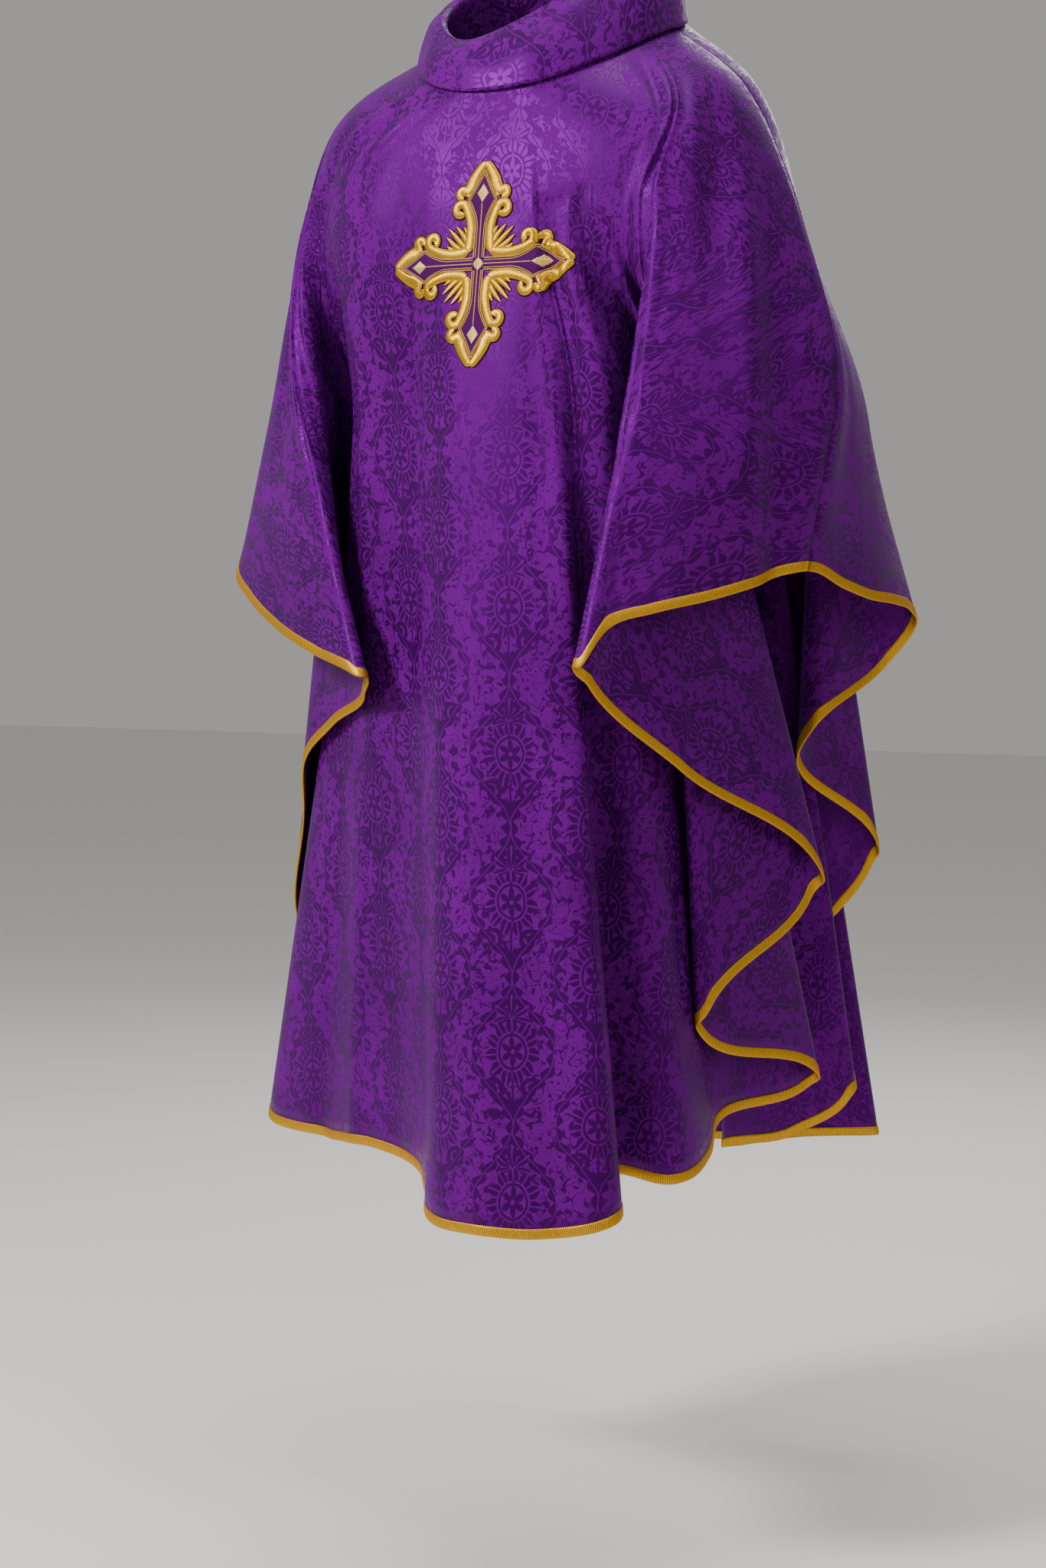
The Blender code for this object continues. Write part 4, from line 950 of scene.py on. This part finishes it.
def makeDamask(name):
    # Satin damask, jacquard woven: the ground is the dull side of the weave, the figure the satin side, a
    # little darker in itself, which catches the light and turns brighter than the ground where it faces it.
    material = newMaterial(name)
    uv = addNode(material, "ShaderNodeUVMap", uv_map="cut").outputs["UV"]
    # the figure wanders about a millimetre from its drawing, as woven leaves do
    wander = noiseIn(material, uv, 38.0, 1.5)
    pushed = addNode(material, "ShaderNodeVectorMath", {0: wander.outputs["Color"], 1: (0.5, 0.5, 0.5)},
                     operation="SUBTRACT")
    shifted = addNode(material, "ShaderNodeVectorMath", {0: pushed.outputs[0], 1: (0.006, 0.006, 0.0), 2: uv},
                      operation="MULTIPLY_ADD")
    xy = addNode(material, "ShaderNodeSeparateXYZ", {0: shifted.outputs[0]})
    leaves = noiseIn(material, uv, 125.0, 1.0, 0.9)
    tendrils = noiseIn(material, uv, 62.0, 0.5, 1.6)
    values = runSteps(material, damaskSteps, {
        "x": xy.outputs[0], "y": xy.outputs[1], "leafNoise": leaves.outputs["Fac"],
        "tendrilNoise": tendrils.outputs["Fac"]})
    figure = addNode(material, "ShaderNodeMapRange", {
        "Value": values["signed"], "From Min": -0.035, "From Max": 0.045},
        interpolation_type="SMOOTHSTEP").outputs[0]
    # fine diagonal lines of the satin weave, and slow changes of tone over a hand's width
    plain = addNode(material, "ShaderNodeSeparateXYZ", {0: uv})
    twill = runSteps(material, (
        ("warp", "MULTIPLY", "x", 2 * math.pi / damask["threadPitch"]),
        ("weft", "MULTIPLY", "y", 0.6 * math.pi / damask["threadPitch"]),
        ("slant", "ADD", "warp", "weft"),
        ("line", "SINE", "slant"),
        ("fine", "MULTIPLY_ADD", "line", 0.5, 0.5)), {"x": plain.outputs[0], "y": plain.outputs[1]})["fine"]
    tone = noiseIn(material, uv, 7.0, 3.0).outputs["Fac"]
    fleck = noiseIn(material, uv, 900.0, 1.0).outputs["Fac"]
    cloth = mixedColour(material, figure, damask["ground"], damask["figure"])
    value = runSteps(material, (
        ("tone1", "MULTIPLY_ADD", "tone", 0.55, 0.60),
        ("fleck1", "MULTIPLY_ADD", "fleck", 0.30, 0.72),
        ("fine1", "MULTIPLY_ADD", "fine", 0.14, 0.93),
        ("both", "MULTIPLY", "tone1", "fleck1"),
        ("value", "MULTIPLY", "both", "fine1")), {"tone": tone, "fleck": fleck, "fine": twill})["value"]
    colour = addNode(material, "ShaderNodeHueSaturation", {"Value": value, "Color": cloth})
    rough = between(material, figure, 0.52, 0.36)
    shine = between(material, figure, 0.10, 0.56)
    height = runSteps(material, (
        ("weave", "MULTIPLY", "fine", 0.30),
        ("height", "MULTIPLY_ADD", "figure", 0.45, "weave")), {"fine": twill, "figure": figure})["height"]
    return finishMaterial(material, {
        "Base Color": colour.outputs[0], "Roughness": rough, "Specular IOR Level": shine,
        "Specular Tint": fromHex(damask["shine"]), "Sheen Weight": 0.05, "Sheen Roughness": 0.40,
        "Sheen Tint": fromHex(damask["shine"])}, height, 0.35, 0.0004)


def makeThread(name, light, dark, pitch, rough, metallic, glint):
    # Embroidery or braid of bright thread: fine ridges across the band, with painted shade darkening the grooves
    # between them and painted highlight lightening their crests, over a random grain of the thread's own tone
    material = newMaterial(name)
    uv = addNode(material, "ShaderNodeUVMap", uv_map="cut").outputs["UV"]
    xy = addNode(material, "ShaderNodeSeparateXYZ", {0: uv})
    steps = runSteps(material, (
        ("lean", "MULTIPLY", "y", 0.35),
        ("run", "ADD", "x", "lean"),
        ("turn", "MULTIPLY", "run", 2 * math.pi / pitch),
        ("wave", "SINE", "turn"),
        ("ridge", "MULTIPLY_ADD", "wave", 0.5, 0.5)), {"x": xy.outputs[0], "y": xy.outputs[1]})
    grain = noiseIn(material, uv, 420.0, 2.0).outputs["Fac"]
    mixed = runSteps(material, (
        ("a", "MULTIPLY", "ridge", 0.55),
        ("b", "MULTIPLY_ADD", "grain", 0.45, "a")), {"ridge": steps["ridge"], "grain": grain})["b"]
    # painted shade and highlight: the colour runs from the dark thread colour in the grooves to the light one on
    # the crests, and the grain adds the thread's own uneven tone
    colour = mixedColour(material, mixed, dark, light)
    return finishMaterial(material, {
        "Base Color": colour, "Roughness": rough, "Metallic": metallic, "Specular IOR Level": 0.5,
        "Specular Tint": fromHex(glint)}, mixed, 0.5, 0.0005)


# The pieces

damaskCloth = makeDamask("satinDamask")
braid = makeThread("goldBraid", "#F0B830", "#8E5A0A", 0.0022, 0.40, 0.60, "#FFD870")
crossMaterials = {
    "satin": makeThread("goldSatinStitch", "#FFC936", "#7E4C06", 0.0013, 0.32, 0.80, "#FFD870"),
    "felt": makeThread("darkUnderfelt", "#2E0A38", "#1A0522", 0.0020, 0.80, 0.0, "#3A1050"),
    "armSatin": makeThread("purpleSatinStitch", "#56105E", "#1E0026", 0.0016, 0.60, 0.0, "#8A20A0"),
    "cord": makeThread("fineGoldCord", "#E6B860", "#8E6426", 0.0016, 0.45, 0.30, "#FFE2C0"),
    "paleSatin": makeThread("paleGoldStitch", "#F6D484", "#B08030", 0.0014, 0.42, 0.45, "#FFF0D0")}
print("materials made")

frontPanel = makePanel("frontCloth", "front", damaskCloth)
backPanel = makePanel("backCloth", "back", damaskCloth)
print("panels made")
frontBraid = makeBinding("frontBraid", "front", braid)
backBraid = makeBinding("backBraid", "back", braid)
collar = makeCollar("rollCollar", damaskCloth)
makeCross(crossMaterials)
print("trim and cross made")
# The stage: a pale floor, soft lights and the photograph's camera

stage = {"floorZ": -1.56, "floorSize": 14.0, "floor": "#ECEAE6", "world": "#E4E2DF", "worldStrength": 0.46,
         "glint": 0.6}      # how much of each light's own highlight shows on the cloth


def makeStage():
    half = stage["floorSize"]
    floorMesh = bpy.data.meshes.new("floor")
    floorMesh.from_pydata([(-half, -half, stage["floorZ"]), (half, -half, stage["floorZ"]),
                           (half, half, stage["floorZ"]), (-half, half, stage["floorZ"])], [], [(0, 1, 2, 3)])
    floor = bpy.data.objects.new("floor", floorMesh)
    bpy.context.collection.objects.link(floor)
    floorMesh.materials.append(finishMaterial(newMaterial("paleFloor"), {
        "Base Color": fromHex(stage["floor"]), "Roughness": 0.75}))
    world = bpy.data.worlds.new("paleRoom")
    world.use_nodes = True
    world.node_tree.nodes["Background"].inputs["Color"].default_value = fromHex(stage["world"])
    world.node_tree.nodes["Background"].inputs["Strength"].default_value = stage["worldStrength"]
    bpy.context.scene.world = world


lights = (  # name, place, size in metres, power in watts, colour
    ("key", (-1.5, -3.0, 1.6), 0.9, 165.0, "#FFFFFF"),
    ("side", (3.0, -1.9, 1.0), 1.4, 24.0, "#FFFFFF"),
    ("top", (0.2, -0.4, 2.3), 1.4, 34.0, "#FFFFFF"),
    ("back", (-0.6, 2.9, 1.2), 2.0, 50.0, "#FFFFFF"))


def makeLights():
    aim = Vector((0.0, 0.0, -0.5))
    for name, place, size, power, colour in lights:
        light = bpy.data.lights.new(name, "AREA")
        light.shape = "DISK"
        light.size = size
        light.energy = power
        light.specular_factor = stage["glint"]
        light.color = fromHex(colour)[:3]
        obj = bpy.data.objects.new(name, light)
        obj.location = place
        obj.rotation_euler = (aim - Vector(place)).to_track_quat("-Z", "Y").to_euler()
        bpy.context.collection.objects.link(obj)


view = {"azimuth": 30.0, "distance": 3.5, "height": -0.55, "focalPixels": 4350.0, "framePixels": 2048.0,
        "sensor": 36.0,
        "aimRight": -48.0, "aimDown": 279.0}       # from the lens axis to the picture's middle, in its pixels


def makeCamera():
    azimuth = math.radians(view["azimuth"])
    ahead = Vector((-math.sin(azimuth), math.cos(azimuth), 0.0))
    right = Vector((math.cos(azimuth), math.sin(azimuth), 0.0))
    yaw = math.atan(-view["aimRight"] / view["focalPixels"])
    tilt = math.atan(view["aimDown"] / view["focalPixels"])
    flat = ahead * math.cos(yaw) - right * math.sin(yaw)
    look = flat * math.cos(tilt) - Vector((0, 0, 1)) * math.sin(tilt)
    camera = bpy.data.cameras.new("camera")
    camera.sensor_width = view["sensor"]
    camera.lens = view["sensor"] * view["focalPixels"] / view["framePixels"]
    obj = bpy.data.objects.new("camera", camera)
    obj.location = -ahead * view["distance"] + Vector((0, 0, view["height"]))
    obj.rotation_euler = look.to_track_quat("-Z", "Y").to_euler()
    bpy.context.collection.objects.link(obj)
    bpy.context.scene.camera = obj


makeStage()
makeLights()
makeCamera()
print("stage set")
